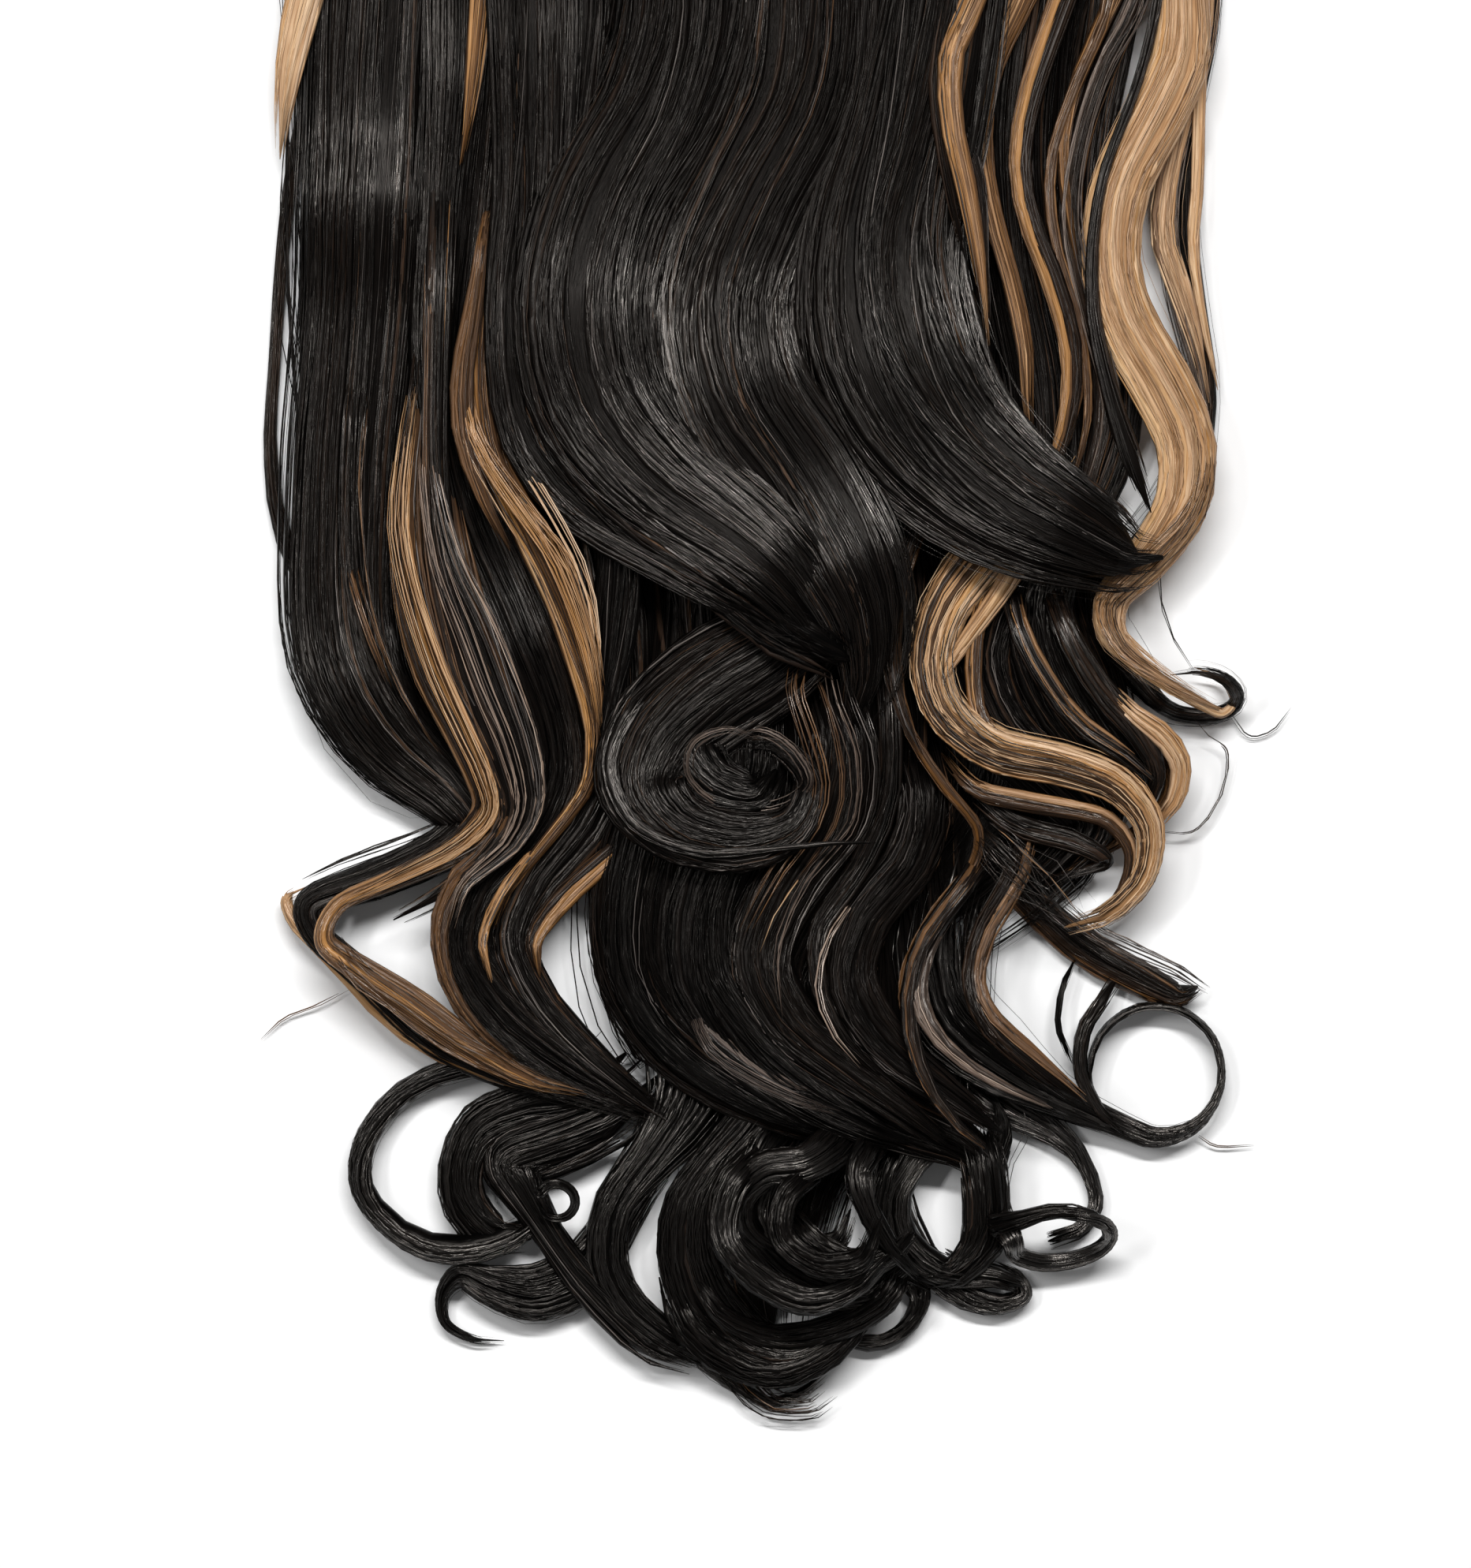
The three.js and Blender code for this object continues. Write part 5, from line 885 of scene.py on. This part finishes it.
for lock in [*TOP_LOCKS, *UNDER_LOCKS]:
    lock.setdefault("hair", "deep" if lock["name"] in SHADED_CURLS else "dark")
    lock["track"] = "top_hair" if lock in TOP_LOCKS else "under_hair"
    if lock in TOP_LOCKS:
        lock["broad"] = 1.12
        lock["gloss"] = 0.6 if lock["name"] == "centre_swirl" else 1
    if lock["name"].startswith("back"):
        lock["dense"] = 0.5
        lock["gloss"] = 0.3
    if lock["name"].startswith("lower"):
        lock["gloss"] = 0.3
    if lock["name"] in SHADED_CURLS:
        lock["gloss"] = 1 if "lobe" in lock["name"] else 2.2
    hair_piece(f"hair_{lock['name']}", [lock], HAIR, [lock["track"]])
for lock in CARAMEL_LOCKS:
    lock["track"] = "highlight_weft"
    lock.setdefault("broad", 1.0)
    hair_piece(f"hair_{lock['name']}", [lock], HAIR, [lock["name"]])
for lock in EXTRA_LOCKS:
    lock["track"] = "highlight_weft"
    hair_piece(f"fine_{lock['name']}", [lock], HAIR, [])


# Weft, tape and clips
def plain_material(name, colour, roughness, metallic=0.0):
    material, nodes, links, shader = new_material(name)
    noise = nodes.new("ShaderNodeTexNoise")
    noise.inputs["Scale"].default_value = 900
    place = nodes.new("ShaderNodeTexCoord")
    links.new(place.outputs["Object"], noise.inputs["Vector"])
    mix = nodes.new("ShaderNodeMix")
    mix.data_type = "RGBA"
    mix.inputs[6].default_value = (*[c * 0.7 for c in colour], 1)
    mix.inputs[7].default_value = (*[min(1, c * 1.4) for c in colour], 1)
    links.new(noise.outputs["Fac"], mix.inputs[0])
    links.new(mix.outputs[2], shader.inputs["Base Color"])
    shader.inputs["Roughness"].default_value = roughness
    shader.inputs["Metallic"].default_value = metallic
    return material


TAPE = plain_material("weft_tape", (0.02, 0.016, 0.013), 0.85)
THREAD = plain_material("sewing_thread", (0.03, 0.024, 0.02), 0.6)
METAL = plain_material("clip_metal", (0.05, 0.042, 0.038), 0.32, 0.7)
SILICONE = plain_material("clip_grip", (0.02, 0.018, 0.017), 0.5)
for node in ("weft_band", "highlight_weft"):
    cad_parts[node].data.materials.clear()
    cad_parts[node].data.materials.append(TAPE)


def tube_along(points, side, up, sides=8, closed=False):
    """A tube through points, whose section has the half axes side and up. A closed one ends where it starts."""
    points = np.array(points, float)
    along = unit(np.gradient(points, axis=0))
    if closed:
        along[0] = along[-1] = unit(points[1] - points[-2])
    flat = unit(np.cross([0, 0, 1], along))
    over = np.cross(along, flat)
    places, faces = tubes(points[None], (flat * side)[None], (over * up)[None], sides, np.full(1, math.pi / sides))
    length = np.repeat(np.concatenate([[0], np.cumsum(np.linalg.norm(np.diff(points, axis=0), axis=1))]), sides)
    return places, faces, np.zeros(len(places)), np.ones(len(places)), np.ones(len(places)), np.column_stack(
        [places[:, 0], places[:, 1], length])


def sewn_piece(name, parts, material, nodes=()):
    at, made = 0, []
    for places, faces, *looks in parts:
        made.append((places, faces + at, *looks))
        at += len(places)
    piece = build_mesh(name, *(np.concatenate(arrays) for arrays in zip(*made)), material)
    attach(piece, "root")
    if nodes:
        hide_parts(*nodes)


def zigzag(bottom, height, depth, pitch, radius):
    """Thread that crosses over a sewn head and back, with a bight at each edge."""
    count = int((WEFT_WIDTH - 4) / pitch)
    points = []
    for i in range(count + 1):
        x = -HALF_WIDTH + 2 + i * pitch
        side = 1 if i % 2 else -1
        points += [(x - pitch * 0.25, side * depth * 0.3, bottom + height + radius * 0.6),
                   (x, side * depth * 0.52, bottom + height * 0.6)]
    return tube_along(points, radius, radius, 5)


def rounded_bar(bottom, height, depth):
    """The folded hair of a sewn head: a bar with soft edges and a slightly uneven thickness."""
    xs = np.linspace(-HALF_WIDTH, HALF_WIDTH, 105)
    uneven = 1 + 0.05 * np.sin(xs * 1.7) + 0.04 * np.sin(xs * 0.61 + 1)
    points = np.column_stack([xs, 0 * xs, np.full(len(xs), bottom + height / 2)])
    side = np.array([0, 1, 0]) * (depth / 2 * uneven)[:, None]
    up = np.array([0, 0, 1]) * (height / 2 * uneven)[:, None]
    places, faces = tubes(points[None], side[None], up[None], 12, np.zeros(1))
    ones = np.ones(len(places))
    return places, faces, 0.08 * ones, ones, 0.4 * ones, places * [0.04, 1, 1]


for track, bottom in TRACK_BOTTOMS.items():
    if track != "highlight_weft":
        sewn_piece(f"head_{track}", [rounded_bar(bottom, TRACK_HEIGHT, 4)], HAIR, [track])
    sewn_piece(f"stitches_{track}", [zigzag(bottom, TRACK_HEIGHT, 4, 1.6, 0.22)], THREAD)
edge = [[(x, y * 6.2 + 0.35 * (1 if k % 2 else -1), 5.35) for k, x in enumerate(np.arange(-127, 127.1, 1.5))]
        for y in (-1, 1)]
sewn_piece("stitches_band", [tube_along(row, 0.2, 0.16, 5) for row in edge], THREAD)


def clip_parts(x):
    """A snap clip: a flat frame, a comb of teeth and a sprung bow on it."""
    angles = np.linspace(0, 2 * math.pi, 49)
    half_x, half_y = 14.9, 5.4
    frame_loop = [(x + half_x * np.sign(math.cos(a)) * abs(math.cos(a)) ** 0.4,
                   half_y * np.sign(math.sin(a)) * abs(math.sin(a)) ** 0.5, 0.6) for a in angles]
    rim = tube_along(frame_loop, 1.05, 0.55, 10, closed=True)
    teeth = [tube_along([(x + k * 2.6, -5.2, 0.6), (x + k * 2.6, -2.4, 0.75), (x + k * 2.6, 0.4, 0.85),
                         (x + k * 2.6, 2.2, 0.6)], 0.5, 0.4, 6) for k in range(-4, 5)]
    bow = tube_along([(x + u * 13, 3.2, 1.5 + 1.1 * math.cos(u * math.pi / 2)) for u in np.linspace(-1, 1, 15)], 1.9, 0.35, 10)
    ends = [tube_along([(x + s * 13.2, y, 1.25) for y in (1.2, 3.2, 5.2)], 1.3, 0.5, 8) for s in (-1, 1)]
    return [rim, *teeth, bow, *ends]


for i in range(5):
    middle_x = -110 + i * 55
    sewn_piece(f"snap_{i + 1}", clip_parts(middle_x), METAL, [f"clip_{i + 1}"])
    grip = [tube_along([(middle_x + u * 12.5, -3.9, 1.35) for u in np.linspace(-1, 1, 9)], 1.0, 0.35, 8)]
    sewn_piece(f"grip_{i + 1}", grip, SILICONE)

# Floor, light and camera
floor_material, nodes, links, shader = new_material("floor_white")
shader.inputs["Base Color"].default_value = (0.92, 0.92, 0.92, 1)
shader.inputs["Roughness"].default_value = 0.9
shader.inputs["Specular IOR Level"].default_value = 0.1
floor_mesh = bpy.data.meshes.new("floor")
floor_mesh.from_pydata([(-4, -4, -0.0004), (4, -4, -0.0004), (4, 4, -0.0004), (-4, 4, -0.0004)], [], [(0, 1, 2, 3)])
floor_mesh.materials.append(floor_material)
floor = bpy.data.objects.new("floor", floor_mesh)
bpy.context.scene.collection.objects.link(floor)

middle_y = -(PHOTO_TOP * HAIR_LENGTH + PHOTO_HEIGHT / 2)


def area_light(name, place, target, size, power):
    data = bpy.data.lights.new(name, "AREA")
    data.shape = "RECTANGLE"
    data.size, data.size_y = size
    data.energy = power
    lamp = bpy.data.objects.new(name, data)
    bpy.context.scene.collection.objects.link(lamp)
    lamp.location = place
    from mathutils import Vector
    lamp.rotation_euler = (Vector(target) - Vector(place)).to_track_quat("-Z", "Y").to_euler()
    return lamp


area_light("key", (0.1, 0.6, 1.9), (0, -0.3, 0), (1.4, 0.16), 46)
area_light("side", (-0.8, 0, 1.5), (0, -0.35, 0), (0.6, 0.15), 8)

world = bpy.data.worlds.new("studio")
world.use_nodes = True
world.node_tree.nodes["Background"].inputs["Color"].default_value = (1, 1, 1, 1)
world.node_tree.nodes["Background"].inputs["Strength"].default_value = 0.18
bpy.context.scene.world = world

camera_data = bpy.data.cameras.new("camera")
camera_data.sensor_fit = "VERTICAL"
camera_data.sensor_height = 24
distance = 1.7
camera_data.lens = camera_data.sensor_height * (distance - 0.012) / (PHOTO_HEIGHT * MM)
camera = bpy.data.objects.new("camera", camera_data)
camera.location = (PHOTO_MIDDLE * MM, middle_y * MM, distance)
bpy.context.scene.collection.objects.link(camera)
bpy.context.scene.camera = camera
bpy.context.scene.view_settings.view_transform = "Standard"
